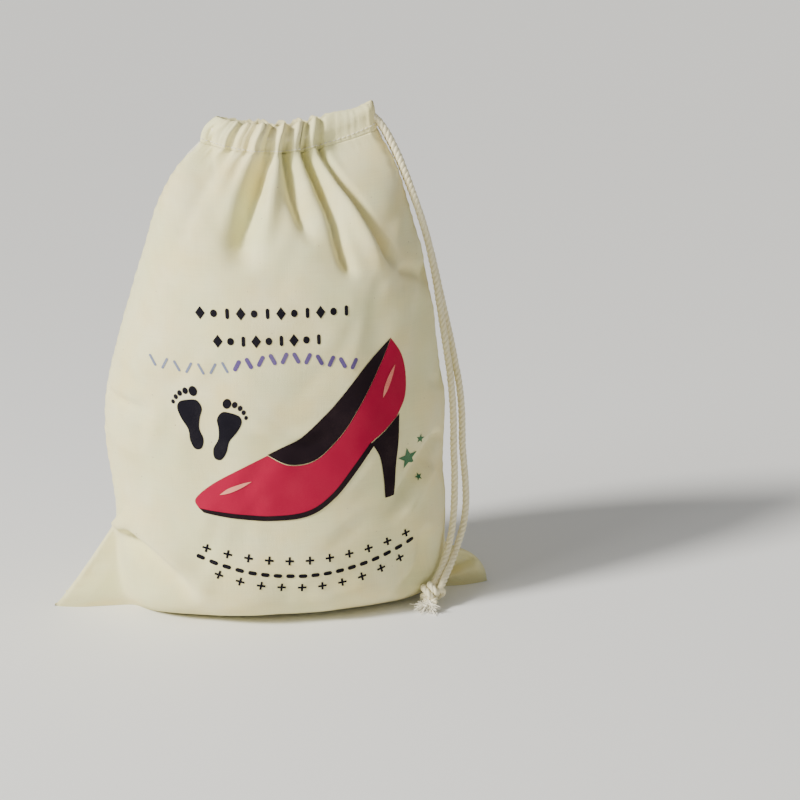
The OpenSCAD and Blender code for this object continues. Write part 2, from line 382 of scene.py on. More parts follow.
@dataclass(frozen=True)
class CottonCloth:
    """Unbleached plain-weave cotton: crossed threads, slubs, seed flecks and soft mottling."""

    name: str = "cotton_cloth"
    light: Colour = (0.94, 0.87, 0.50, 1)
    warm: Colour = (0.93, 0.80, 0.38, 1)
    green: Colour = (0.82, 0.84, 0.44, 1)
    fleck: Colour = (0.40, 0.29, 0.15, 1)
    thread_pitch: float = 0.62 * MM
    relief: float = 0.16 * MM

    def build(self) -> bpy.types.Material:
        """Builds the material on the piece's UV map, which is in metres."""
        s = Sketch(self.name)
        uv = s.add("ShaderNodeUVMap", uv_map="cloth").outputs["UV"]
        parts = s.add("ShaderNodeSeparateXYZ")
        s.join(uv, parts.inputs["Vector"])
        turn = 2 * math.pi / self.thread_pitch
        wander = s.calc("MULTIPLY", s.noise(uv, 90, 2), 0.0022)
        across = s.calc("SINE", s.calc("MULTIPLY", s.calc("ADD", parts.outputs["X"], wander), turn))
        along = s.calc("SINE", s.calc("MULTIPLY", s.calc("ADD", parts.outputs["Y"], wander), turn))
        weave = s.calc("MULTIPLY_ADD", s.calc("MULTIPLY", across, along), 0.5, 0.5)
        warp = s.noise(s.stretched(uv, (1500, 28, 1)), 1, 3)
        weft = s.noise(s.stretched(uv, (28, 1500, 1)), 1, 3)
        slubs = s.calc("ADD", warp, weft)
        mottle = s.ramp(s.noise(uv, 38, 3), 0.34, 0.68)
        tint = s.ramp(s.noise(uv, 21, 2), 0.36, 0.66)
        colour = s.mix(mottle, self.light, self.warm)
        colour = s.mix(s.calc("MULTIPLY", tint, 0.55), colour, self.green)
        shade = s.calc("MULTIPLY_ADD", slubs, 0.16, 0.84)
        shade = s.calc("MULTIPLY_ADD", weave, 0.05, shade)
        grey = s.add("ShaderNodeCombineColor")
        for socket in grey.inputs[:3]:
            s.join(s.calc("MINIMUM", shade, 1.04), socket)
        toned = s.add("ShaderNodeMix", data_type="RGBA", blend_type="MULTIPLY")
        toned.inputs[0].default_value = 1
        s.join(colour, toned.inputs[6])
        s.join(grey.outputs["Color"], toned.inputs[7])
        cells = s.add("ShaderNodeTexVoronoi")
        s.join(uv, cells.inputs["Vector"])
        cells.inputs["Scale"].default_value = 170
        seeds = s.ramp(cells.outputs["Distance"], 0.085, 0.045)
        chosen = s.ramp(s.noise(uv, 62, 1), 0.56, 0.62)
        share = s.calc("MULTIPLY", s.calc("MULTIPLY", seeds, chosen), 0.7)
        s.set(Base_Color=s.mix(share, toned.outputs[2], self.fleck))
        s.set(Roughness=0.93, Specular_IOR_Level=0.22, Sheen_Weight=0.22, Sheen_Roughness=0.55)
        s.bump(s.calc("MULTIPLY_ADD", slubs, 0.75, weave), self.relief)
        return s.material


@dataclass(frozen=True)
class CottonYarn:
    """Soft twisted cotton yarn, finely striped along the ply with loose fibre."""

    name: str
    light: Colour
    dark: Colour
    relief: float = 0.12 * MM
    roughness: float = 0.9

    def build(self) -> bpy.types.Material:
        """Builds the material on Object coordinates."""
        s = Sketch(self.name)
        place = s.add("ShaderNodeTexCoord").outputs["Object"]
        fibre = s.noise(s.stretched(place, (2600, 2600, 700)), 1, 3)
        patches = s.ramp(s.noise(place, 95, 2), 0.35, 0.68)
        share = s.calc("MULTIPLY_ADD", patches, 0.45, s.calc("MULTIPLY", fibre, 0.45))
        s.set(Base_Color=s.mix(share, self.light, self.dark))
        s.set(Roughness=self.roughness, Specular_IOR_Level=0.2)
        s.set(Sheen_Weight=0.3, Sheen_Roughness=0.5)
        s.bump(fibre, self.relief)
        return s.material


@dataclass(frozen=True)
class PrintInk:
    """Screen-printing ink that has sunk into the weave and lets a little cloth through."""

    name: str
    colour: Colour
    worn: Colour
    wear: float = 0.35

    def build(self) -> bpy.types.Material:
        """Builds the material on Object coordinates."""
        s = Sketch(self.name)
        place = s.add("ShaderNodeTexCoord").outputs["Object"]
        grain = s.noise(s.stretched(place, (1, 0.2, 1)), 1900, 2)
        cloudy = s.noise(place, 60, 3)
        share = s.calc("MULTIPLY", s.ramp(s.calc("ADD", grain, cloudy), 0.9, 1.35), self.wear)
        s.set(Base_Color=s.mix(share, self.colour, self.worn))
        s.set(Roughness=0.88, Specular_IOR_Level=0.12)
        s.bump(grain, 0.06 * MM)
        return s.material


INKS = (
    PrintInk("ink_black", (0.006, 0.005, 0.009, 1), (0.04, 0.035, 0.04, 1)),
    PrintInk("ink_violet", (0.11, 0.075, 0.22, 1), (0.30, 0.26, 0.36, 1)),
    PrintInk("ink_red", (0.38, 0.007, 0.042, 1), (0.45, 0.025, 0.060, 1)),
    PrintInk("ink_dark", (0.012, 0.006, 0.009, 1), (0.05, 0.03, 0.03, 1)),
    PrintInk("ink_blue", (0.17, 0.20, 0.30, 1), (0.42, 0.44, 0.46, 1)),
    PrintInk("ink_glow", (0.80, 0.30, 0.22, 1), (0.62, 0.06, 0.06, 1), 0.8),
    PrintInk("ink_green", (0.045, 0.14, 0.065, 1), (0.20, 0.32, 0.19, 1)),
)


@dataclass(frozen=True)
class StudioFloor:
    """A plain pale studio surface."""

    colour: Colour = (0.86, 0.86, 0.84, 1)
    cloudy: Colour = (0.82, 0.82, 0.80, 1)

    def build(self) -> bpy.types.Material:
        """Builds the floor's material."""
        s = Sketch("studio_floor")
        place = s.add("ShaderNodeTexCoord").outputs["Object"]
        share = s.calc("MULTIPLY", s.noise(place, 3, 2), 0.25)
        s.set(Base_Color=s.mix(share, self.colour, self.cloudy))
        s.set(Roughness=0.65, Specular_IOR_Level=0.25)
        return s.material


# ---------------------------------------------------------------------------
# The bag's form
# ---------------------------------------------------------------------------


@dataclass(frozen=True)
class Fold:
    """One soft fold of the cloth: a line on the panel seen from the front, in millimetres."""

    line: tuple[tuple[float, float], ...]
    height: float
    width: float
    fade_in: float = 0.0
    fade_out: float = 0.3
    widen: float = 0.35

    def lift(self, x: Points, z: Points) -> Points:
        """Gives how far the fold lifts the cloth.

        Args:
            x: Places across the panel.
            z: Heights of those places.

        Returns:
            The lift in millimetres, which is below 0 in a valley.
        """
        line = catmull(np.array(self.line, float), np.linspace(0, len(self.line) - 1, 36))
        best = np.full(x.shape, 1e9)
        place = np.zeros(x.shape)
        for k in range(len(line) - 1):
            run = line[k + 1] - line[k]
            t = ((x - line[k, 0]) * run[0] + (z - line[k, 1]) * run[1]) / (run @ run)
            t = np.clip(t, 0, 1)
            gap = np.hypot(x - line[k, 0] - t * run[0], z - line[k, 1] - t * run[1])
            nearer = gap < best
            best = np.where(nearer, gap, best)
            place = np.where(nearer, (k + t) / (len(line) - 1), place)
        ends = np.ones(x.shape)
        if self.fade_in > 0:
            ends = ends * smooth_step(0, self.fade_in, place)
        if self.fade_out > 0:
            ends = ends * smooth_step(0, self.fade_out, 1 - place)
        spread = self.width * (1 + self.widen * place)
        return self.height * ends * np.exp(-((best / spread) ** 2))


NECK_FOLDS = (
    Fold(((-20, 330), (-22, 312), (-31, 297), (-41, 283)), 1.6, 3.6, fade_out=0.5),
    Fold(((-15.5, 329), (-17, 312), (-26, 296), (-36, 281)), -2.6, 2.4, fade_out=0.5),
    Fold(((-10.5, 328), (-12, 312), (-21, 295), (-31, 277), (-36, 262)), 3.4, 4.2, fade_out=0.5),
    Fold(((-6.5, 327), (-8, 312), (-17, 294), (-26, 277)), -3.4, 2.6, fade_out=0.5),
    Fold(((-1.5, 326), (-3, 312), (-12, 293), (-23, 268), (-31, 243)), 5.2, 4.6, fade_out=0.4),
    Fold(((3.6, 325), (2, 301), (-5, 286), (-14, 268), (-20, 250), (-20, 229)), -10.5, 2.9,
         fade_in=0.45, fade_out=0.22, widen=2.3),
    Fold(((9.2, 324), (8, 305), (5, 290), (1, 272), (-4, 254), (-9, 236)), 5.2, 4.2,
         fade_out=0.45),
    Fold(((14.4, 324), (12, 300), (14, 282), (19, 262), (28, 245)), -8.0, 2.3, fade_out=0.35,
         widen=0.9),
    Fold(((18.8, 325), (19, 309), (23, 285), (31, 263), (39, 246)), 4.2, 3.8, fade_out=0.45),
    Fold(((23, 326), (24, 301), (31, 283), (38, 265), (42, 250), (46, 236), (52, 225)),
         -8.0, 2.2, fade_out=0.2, widen=0.8),
    Fold(((29, 328), (31, 309), (40, 286), (53, 263), (65, 240), (71, 222)), 5.8, 4.8,
         fade_out=0.3),
    Fold(((35, 329), (34, 305), (43, 286), (56, 269), (68, 249), (81, 228)), -8.5, 2.3,
         fade_out=0.15, widen=0.6),
)
BODY_FOLDS = (
    Fold(((79, 229), (90, 226), (106, 221)), -3.6, 2.8, 0.25, 0.1),
    Fold(((84, 216), (94, 213), (106, 207)), 1.2, 5.0, 0.3, 0.1),
    Fold(((104, 222), (97, 205), (93, 176), (91, 140)), -3.4, 6.0, 0.15, 0.4),
    Fold(((90, 216), (84, 196), (82, 172)), 1.6, 7.0, 0.3, 0.4),
    Fold(((-34, 287), (-50, 263), (-67, 229)), -1.3, 4.0, 0.2, 0.4),
    Fold(((-101, 66), (-89, 61), (-76, 53), (-63, 42), (-50, 29), (-39, 15)),
         8.5, 8.0, 0.05, 0.5),
    Fold(((-99, 58), (-87, 50), (-75, 40), (-64, 29), (-54, 15)), -10.5, 7.0, 0.08, 0.4),
    Fold(((110, 118), (100, 108), (90, 96), (78, 82), (66, 67)), -5.6, 4.4, 0.1, 0.4),
    Fold(((104, 98), (94, 86), (84, 72), (76, 58)), 3.4, 5.4, 0.2, 0.4),
    Fold(((97, 58), (96, 42), (92, 27), (83, 18), (73, 13)), -4.8, 4.4, 0.2, 0.3),
    Fold(((99, 155), (113, 147)), -1.3, 2.6, 0.3, 0.2),
    Fold(((-20, 141), (6, 130), (34, 138)), 1.6, 3.6, 0.3, 0.3),
    Fold(((-18, 134), (6, 124), (32, 130)), -1.2, 4.0, 0.3, 0.3),
    Fold(((-107, 148), (-93, 146), (-76, 142)), -3.2, 3.2, 0.05, 0.5),
    Fold(((-107, 155), (-93, 152), (-80, 150)), 1.6, 4.0, 0.05, 0.5),
    Fold(((-106, 128), (-95, 118), (-83, 111)), 2.0, 4.2, 0.1, 0.5),
    Fold(((-99, 178), (-86, 171), (-72, 168)), 1.8, 4.6, 0.1, 0.5),
    Fold(((-92, 206), (-80, 198), (-68, 196)), -1.4, 4.6, 0.1, 0.5),
    Fold(((60, 30), (40, 22), (15, 20)), 0.9, 6.0, 0.3, 0.4),
    Fold(((112, 9), (126, 14), (144, 23)), -6.0, 2.6, 0.05, 0.1),
    Fold(((116, 5), (130, 9), (145, 13)), 2.6, 3.2, 0.1, 0.1),
)


@dataclass(frozen=True)
class BagForm:
    """The filled bag's shape in millimetres, as level sections: height, left, right and depth."""

    sections: tuple[tuple[float, float, float, float], ...] = (
        (0, -92, 102, 33), (9, -98, 113, 57), (30, -102, 117.5, 70), (70, -104, 116.5, 74.5),
        (105, -107.5, 116, 75.5), (140, -108, 115.5, 75), (175, -100, 111.5, 72),
        (210, -89, 106.5, 66), (240, -79, 100, 55), (265, -70, 92.5, 42), (285, -57, 84, 29),
        (300.3, -41, 72.5, 15),
    )
    mouth_line: tuple[tuple[float, float], ...] = (
        (66, -4.8), (60.5, -4.8), (54, -4.8), (42, -5), (32, -6.5), (22, -10), (10, -12.8),
        (-3, -13.4), (-15, -12.4), (-25, -9.4), (-31, -5), (-33.3, -0.4),
    )
    left_ear: tuple[float, float] = (147.6, 60)
    left_foot: float = 103
    right_ear: tuple[float, float] = (147.6, 26)
    right_foot: float = 119
    ear_share: float = 6 / 32
    ear_turn: float = 4
    ear_bulge: float = 5
    seam_y: float = 0.66
    edge_round: float = 1.7
    channel_z: float = 309
    channel_w: float = 17
    channel_r: float = 4.4
    mouth_rise: float = 0.00425
    neck_rise: float = 0.003
    mouth_x: float = 5
    neck_from: float = 8

    @property
    def top(self) -> int:
        """The number of the last section, where the neck meets the channel."""
        return len(self.sections) - 1

    def ridges(self, s: Points) -> tuple[Points, Points]:
        """Gives where the side seams are in each section, ears included."""
        height = np.maximum(s[:, 0], 0)
        reach, rise = self.left_ear
        ear = -reach + (reach - self.left_foot) * np.minimum(height / rise, 1) ** 0.9
        left = np.where(height < rise, np.minimum(s[:, 1], ear), s[:, 1])
        reach, rise = self.right_ear
        ear = self.right_foot + (reach - self.right_foot) \
            * np.sqrt(np.maximum(1 - (height / rise) ** 2, 0))
        right = np.where(height < rise, np.maximum(s[:, 2], ear), s[:, 2])
        return left, right

    def neck_depth(self, x: Points) -> Points:
        """Gives the half depth of the gathered neck at its top."""
        line = sorted([(px, -py) for px, py in self.mouth_line] + [(80, 4.8), (-60, 0.4)])
        xs, ys = zip(*line)
        return np.interp(x, xs, ys) + self.channel_r - 0.6

    def surface(self, places: Points, across: Points) -> Points:
        """Gives points of the front's smooth surface, before any fold.

        Args:
            places: Section numbers from 0 at the floor to the last at the neck's top.
            across: Places from 0 at the left side seam to 1 at the right one.

        Returns:
            An array of rows and columns of points in millimetres.
        """
        s = catmull(np.array(self.sections, float), places)
        left, right = self.ridges(s)
        u = across[None, :]
        inner_left = (s[:, 1] + self.ear_turn)[:, None]
        inner_right = (s[:, 2] - self.ear_turn)[:, None]
        near_left = np.clip(u / self.ear_share, 0, 1) ** 1.3
        near_right = np.clip((1 - u) / self.ear_share, 0, 1) ** 1.3
        middle = np.clip((u - self.ear_share) / (1 - 2 * self.ear_share), 0, 1)
        middle = 0.3 * middle + 0.7 * (1 - np.cos(math.pi * middle)) / 2
        x = inner_left + (inner_right - inner_left) * middle
        x = np.where(u < self.ear_share,
                     left[:, None] + (inner_left - left[:, None]) * near_left, x)
        x = np.where(u > 1 - self.ear_share,
                     right[:, None] + (inner_right - right[:, None]) * near_right, x)
        from_left, from_right = x - left[:, None], right[:, None] - x
        inset = np.minimum(from_left, from_right)
        height = np.maximum(s[:, 0], 0)[:, None]
        bulge_left = np.clip(1 - height / self.left_ear[1], 0, 1) * np.clip(from_left / 18, 0, 1)
        bulge_right = np.clip(1 - height / self.right_ear[1], 0, 1) * np.clip(from_right / 18, 0, 1)
        bulge = self.ear_bulge * np.where(x < 0, bulge_left, bulge_right)
        centre = ((s[:, 1] + s[:, 2]) / 2)[:, None]
        half = ((s[:, 2] - s[:, 1]) / 2)[:, None]
        belly = s[:, 3][:, None] * np.sqrt(np.maximum(0, 1 - ((x - centre) / half) ** 2))
        edge = round_rise(inset / 2.4)
        share = np.clip((places - self.neck_from) / (self.top - self.neck_from), 0, 1)
        share = share[:, None] ** 2
        body_y = self.seam_y + self.edge_round * edge + bulge + belly
        rise = round_rise(inset / 7)
        neck_y = self.seam_y + (self.neck_depth(x) - self.seam_y) * rise
        y = -(body_y + (neck_y - body_y) * share)
        z = s[:, 0][:, None] + share * self.neck_rise * (x - self.mouth_x) ** 2
        return np.stack([x, y, z], axis=2)


CLOTH_FEEL = {"quality": 4, "mass": 0.2, "tension_stiffness": 18, "compression_stiffness": 18,
              "shear_stiffness": 6, "bending_stiffness": 0.35}


@dataclass
class ClothPanel:
    """One side of the bag: bottom half, body and neck, and the channel above them."""

    side: Side
    form: BagForm = field(default_factory=BagForm)
    columns: int = 156
    bottom_rows: int = 22
    body_rows: int = 168
    ear_rows: int = 33
    channel_rows: int = 30
    cloth_t: float = 0.9 * MM
    seed: int = 3
    waves_l_h: tuple[tuple[float, float], ...] = ((60, 0.24), (31, 0.13), (17, 0.05))
    waves_each: int = 6
    gather_l: float = 5.6
    fine_gather_l: float = 3.3
    pucker_h: float = 0.45
    pucker_l: float = 8.5
    seam_reach: float = 7
    foot_reach: float = 14
    exit_drop: float = 3.4
    spare_cloth: float = -0.03
    settle_frames: int = 16
    broad_passes: int = 120
    wrinkle_cap: float = 3.2

    def __post_init__(self) -> None:
        """Works out the folded surface once for all pieces of this side."""
        self.rng = np.random.default_rng(self.seed)
        self.waves = self._wave_table()
        base = self._base_grid()
        self.uv = self._flat_grid(base)
        self.grid = self._folded(base)
        self.grid = self._relaxed(self.grid)

    def _wave_table(self) -> list[tuple[float, float, float, float]]:
        """Draws the soft random waves that a worn cotton surface has."""
        waves = []
        for length, height in self.waves_l_h:
            for _ in range(self.waves_each):
                angle = self.rng.uniform(0, math.pi)
                size = 2 * math.pi / (length * self.rng.uniform(0.8, 1.25))
                phase = self.rng.uniform(0, 2 * math.pi)
                waves.append((size * math.cos(angle), size * math.sin(angle), phase, height))
        return waves

    def _waves(self, x: Points, z: Points) -> Points:
        """Gives the random waves' lift in millimetres."""
        bend = 9 * np.sin(x / 31 + z / 47) + 4 * np.sin(x / 13 - z / 19)
        total = np.zeros_like(x)
        for kx, kz, phase, height in self.waves:
            total += height * np.sin(kx * (x + bend) + kz * (z - bend) + phase)
        return total

    def _base_grid(self) -> Points:
        """Lays the smooth surface out in rows and columns, bottom seam first."""
        across = np.linspace(0, 1, self.columns + 1)
        places = np.concatenate([
            np.linspace(0, 2, self.ear_rows + 1)[:-1],
            np.linspace(2, self.form.top, self.body_rows - self.ear_rows + 1),
        ])
        body = self.form.surface(places, across)
        foot = body[0]
        bottom = []
        for k in range(self.bottom_rows):
            row = foot.copy()
            share = math.sin(math.pi / 2 * k / self.bottom_rows)
            row[:, 1] = -self.form.seam_y + (foot[:, 1] + self.form.seam_y) * share
            row[:, 2] = 0
            bottom.append(row)
        grid = np.concatenate([np.array(bottom), body])
        return self._softened(grid, 10)

    def _softened(self, grid: Points, passes: int) -> Points:
        """Rounds off the turns between ears, bottom and body, below the shoulder."""
        share = 1 - smooth_step(85, 110, grid[1:-1, 1:-1, 2])[..., None]
        for _ in range(passes):
            near = (grid[:-2, 1:-1] + grid[2:, 1:-1] + grid[1:-1, :-2] + grid[1:-1, 2:]) / 4
            grid[1:-1, 1:-1] += 0.5 * share * (near - grid[1:-1, 1:-1])
        return grid

    @staticmethod
    def _from_left(grid: Points) -> Points:
        """Gives how far each point lies from the left seam, along its row."""
        steps = np.linalg.norm(np.diff(grid, axis=1), axis=2)
        return np.concatenate([np.zeros((len(grid), 1)), steps.cumsum(axis=1)], axis=1)

    def _from_seam(self, grid: Points) -> Points:
        """Gives how far each point lies from the nearer side seam, along its row."""
        from_left = self._from_left(grid)
        return np.minimum(from_left, from_left[:, -1:] - from_left)

    def _flat_grid(self, grid: Points) -> Points:
        """Gives the flat cloth's coordinates in metres: along the weft and the warp."""
        across = self._from_left(grid)
        middle = self.columns // 2
        across = across - across[:, middle:middle + 1]
        along = travelled(grid[:, middle])
        return np.stack([across, np.broadcast_to(along[:, None], across.shape)], axis=2) * MM

    @staticmethod
    def normals(grid: Points) -> Points:
        """Gives the outward normals of a front grid."""
        across = np.gradient(grid, axis=1)
        along = np.gradient(grid, axis=0)
        normal = np.cross(across, along)
        return normal / np.maximum(np.linalg.norm(normal, axis=2), 1e-9)[..., None]

    def _fold_lift(self, x: Points, z: Points, pinch: Points) -> Points:
        """Adds up the folds at places of the panel."""
        drift = 0.0 if self.side is Side.FRONT else 5.0
        share = 1.0 if self.side is Side.FRONT else 0.9
        total = np.zeros_like(x)
        for fold in NECK_FOLDS:
            total += fold.lift(x + drift * (1 - smooth_step(240, 300, z)), z) * share
        for fold in BODY_FOLDS:
            total += fold.lift(x - 0.6 * drift, z + drift) * share
        return total * np.where(total < 0, 1 + 0.5 * pinch, 1)

    def _gathers(self, foot_x: Points) -> Points:
        """Gives the small gathers of each column, deepest where the cloth is bunched."""
        phase = 0.0 if self.side is Side.FRONT else 1.9
        bunch = smooth_step(-40, -24, foot_x) * (1 - smooth_step(28, 46, foot_x))
        turn = foot_x * 2 * math.pi
        wave = np.sin(turn / self.gather_l + 1.4 * np.sin(foot_x / 9) + phase)
        wave += 0.55 * np.sin(turn / self.fine_gather_l + 1.1 * np.sin(foot_x / 6) + phase)
        return wave * (0.18 + 0.72 * bunch)

    def _folded(self, grid: Points) -> Points:
        """Lifts the surface by its folds, waves, seam puckers and seam grooves."""
        x, z = grid[..., 0], grid[..., 2]
        stitch_z = self.form.channel_z - self.form.channel_w / 2 \
            + self.form.neck_rise * (x - self.form.mouth_x) ** 2
        pinch = np.exp(-(((z - stitch_z) / 5) ** 2))
        lift = self._fold_lift(x, z, pinch)
        lift = lift + self._waves(x, z) * (1 - 0.5 * smooth_step(290, 300, z))
        below = np.maximum(stitch_z - z, 0)
        lift += 0.7 * self._gathers(grid[-1, :, 0])[None, :] * np.exp(-below / 6)
        from_seam = self._from_seam(grid)
        along = self.uv[..., 1] / MM
        pucker = np.sin(2 * math.pi * along / self.pucker_l + 1.7 * np.sin(along / 19))
        lift = lift * smooth_step(0, self.seam_reach, from_seam)
        lift += self.pucker_h * pucker * np.exp(-from_seam / self.seam_reach) \
            * smooth_step(0, 1.5, from_seam)
        bottom = smooth_step(0, self.foot_reach, z)
        moved = grid + self.normals(grid) * (lift * (0.15 + 0.85 * bottom))[..., None]
        moved[..., 2] = np.maximum(moved[..., 2], 0)
        moved[..., 1] = np.minimum(moved[..., 1], -self.form.seam_y)
        return moved

    def _hold(self, grid: Points) -> Points:
        """Gives how firmly each point is held while the cloth relaxes, from 0 to 1."""
        seam = 1 - smooth_step(1.5, 9, self._from_seam(grid))
        neck = smooth_step(228, 268, grid[..., 2])
        foot = 1 - smooth_step(2, self.foot_reach, grid[..., 2])
        return np.maximum(np.maximum(seam, neck), foot)

    def _relaxed(self, grid: Points) -> Points:
        """Lets cloth that is slightly too large for the form settle, and keeps its wrinkles."""
        draft = grid_piece(grid)
        held = draft.vertex_groups.new(name="held")
        for index, weight in enumerate(self._hold(grid).ravel()):
            held.add([index], float(weight), "REPLACE")
        cloth = draft.modifiers.new("Cloth", "CLOTH")
        settings = cloth.settings
        settings.vertex_group_mass = "held"
        for key, value in CLOTH_FEEL.items():
            setattr(settings, key, value)
        settings.shrink_min = self.spare_cloth
        settings.effector_weights.gravity = 0.2
        cloth.collision_settings.use_collision = False
        cloth.point_cache.frame_start = 1
        cloth.point_cache.frame_end = self.settle_frames
        for frame_number in range(1, self.settle_frames + 1):
            bpy.context.scene.frame_set(frame_number)
        choose(draft)
        bpy.ops.object.modifier_apply(modifier=cloth.name)
        points = np.empty(grid.size)
        draft.data.vertices.foreach_get("co", points)
        bpy.data.objects.remove(draft)
        bpy.context.scene.frame_set(1)
        moved = points.reshape(grid.shape) / MM - grid
        broad = moved.copy()
        for _ in range(self.broad_passes):
            broad[1:-1, 1:-1] = (broad[:-2, 1:-1] + broad[2:, 1:-1] + broad[1:-1, :-2]
                                 + broad[1:-1, 2:]) / 4
        fine = moved - broad
        size = np.linalg.norm(fine, axis=2)[..., None]
        fine = fine * self.wrinkle_cap / (self.wrinkle_cap + size)
        LOG.info("%s cloth settled: wrinkles up to %.1f mm", self.side.word, size.max())
        settled = grid + fine
        settled[..., 1] = np.minimum(settled[..., 1], -self.form.seam_y)
        settled[..., 2] = np.maximum(settled[..., 2], 0)
        return settled

    def channel_grid(self) -> tuple[Points, Points]:
        """Lays out the channel: out over the cord, over the rim and down its inner side.

        Returns:
            The grid of points in millimetres and the flat coordinates in metres.
        """
        f = self.form
        foot = self.grid[-1]
        share = (foot[:, 0] - foot[0, 0]) / (foot[-1, 0] - foot[0, 0])
        line = np.array(sorted(f.mouth_line), float)
        ends = round_rise(np.minimum(share, 1 - share) / 0.05)
        fold = self._fold_lift(foot[:, 0], foot[:, 2], np.zeros_like(share))
        bead = self._gathers(foot[:, 0])
        exit_drop = self.exit_drop * smooth_step(42, 64, foot[:, 0])
        rim_rise = 8.7

        def row(x_left: float, x_right: float, out: float, rise: float, lift: float,
                deepest: float) -> Points:
            """One line along the channel, from the left seam to the cord exit."""
            x = x_left + (x_right - x_left) * share
            depth = np.interp(x, line[:, 0], -line[:, 1])
            relief = lift * np.clip(fold, deepest, 5.2) + 0.75 * bead
            y = f.seam_y + (depth + out + relief - f.seam_y) * ends
            height = f.channel_z + rise + f.mouth_rise * (x - f.mouth_x) ** 2
            height = height - exit_drop * max(rise, 0) / rim_rise
            return np.stack([x, -np.maximum(y, f.seam_y), height], axis=1)

        rows = [
            foot,
            row(-40, 71.8, f.channel_r - 0.5, -5.4, 1.0, -7.5),
            row(-37.6, 71.2, f.channel_r + 0.3, 0.2, 0.95, -2.2),
            row(-33.5, 70.2, f.channel_r - 0.8, 5.4, 0.9, -4.4),
            row(-30.0, 69.2, 0.7, rim_rise, 0.75, -5.0),
            row(-29.4, 68.6, -2.2, 7.2, 0.45, -3.0),
            row(-30.6, 68.8, -3.4, 3.2, 0.2, -2.0),
            row(-33.0, 69.0, -3.6, -3.0, 0.2, -2.0),
            row(-36.0, 69.2, -3.4, -7.4, 0.2, -2.0),
        ]
        rows[4][:, 2] += 0.45 * np.clip(fold, -4, 4) + 0.5 * bead
        rows = np.array(rows)
        places = np.linspace(0, len(rows) - 1, self.channel_rows + 1)
        flat = rows.reshape(len(rows), -1)
        grid = catmull(flat, places).reshape(len(places), -1, 3)
        grid[1:, :, 1] = np.minimum(grid[1:, :, 1], -f.seam_y)
        along = np.linspace(0, 2 * f.channel_w, len(places))[:, None] * MM
        uv = np.stack(np.broadcast_arrays(self.uv[-1, :, 0][None, :],
                                          self.uv[-1, 0, 1] + along), axis=2)
        return grid, uv

    def sheet_object(self, name: str, grid: Points, uv: Points) -> bpy.types.Object:
        """Makes a cloth piece with thickness from a grid.

        Args:
            name: The piece's name.
            grid: Rows and columns of points in millimetres, as for the front.
            uv: The flat coordinates of the same points.

        Returns:
            The finished piece.
        """
        piece = grid_piece(grid * np.array([1, self.side.value, 1]))
        piece.name = name
        mesh = piece.data
        mesh.name = name
        while mesh.uv_layers:
            mesh.uv_layers.remove(mesh.uv_layers[0])
        layer = mesh.uv_layers.new(name="cloth")
        corner = np.empty(len(mesh.loops), int)
        mesh.loops.foreach_get("vertex_index", corner)
        layer.data.foreach_set("uv", uv.reshape(-1, 2)[corner].ravel())
        mesh.update()
        if self.side is Side.BACK:
            mesh.flip_normals()
        apply_modifier(piece, "SOLIDIFY", thickness=self.cloth_t, offset=-1.0,
                       use_even_offset=False, use_rim=True)
        for vertex in mesh.vertices:
            vertex.co.z = max(vertex.co.z, 0.0)
        shade_smooth(piece)
        mesh.update()
        return piece


# ---------------------------------------------------------------------------
# The gather line, and pieces baked in place or attached to the bag
# ---------------------------------------------------------------------------


@dataclass(frozen=True)
class Gather:
    """The line across the neck along which the cloth passes from the bag to the cord."""

    normal: tuple[float, float] = (-0.56, 0.83)
    start: float = 225 * MM
    end: float = 280 * MM

    def dress(self, piece: bpy.types.Object) -> None:
        """Bakes a piece's placement into its points; the line's normal is worked out but not used.
        """
        n = np.array([self.normal[0], 0, self.normal[1]])
        n /= np.linalg.norm(n)
        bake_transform(piece)

    def follow(self, piece: bpy.types.Object, gathers: bool) -> None:
        """Bakes a piece in place if it reaches the neck's far side, or else attaches it to the bag.
        """
        if gathers:
            self.dress(piece)
        else:
            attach(piece, "bag")


GATHER = Gather()


# ---------------------------------------------------------------------------
# Cloth pieces
# ---------------------------------------------------------------------------


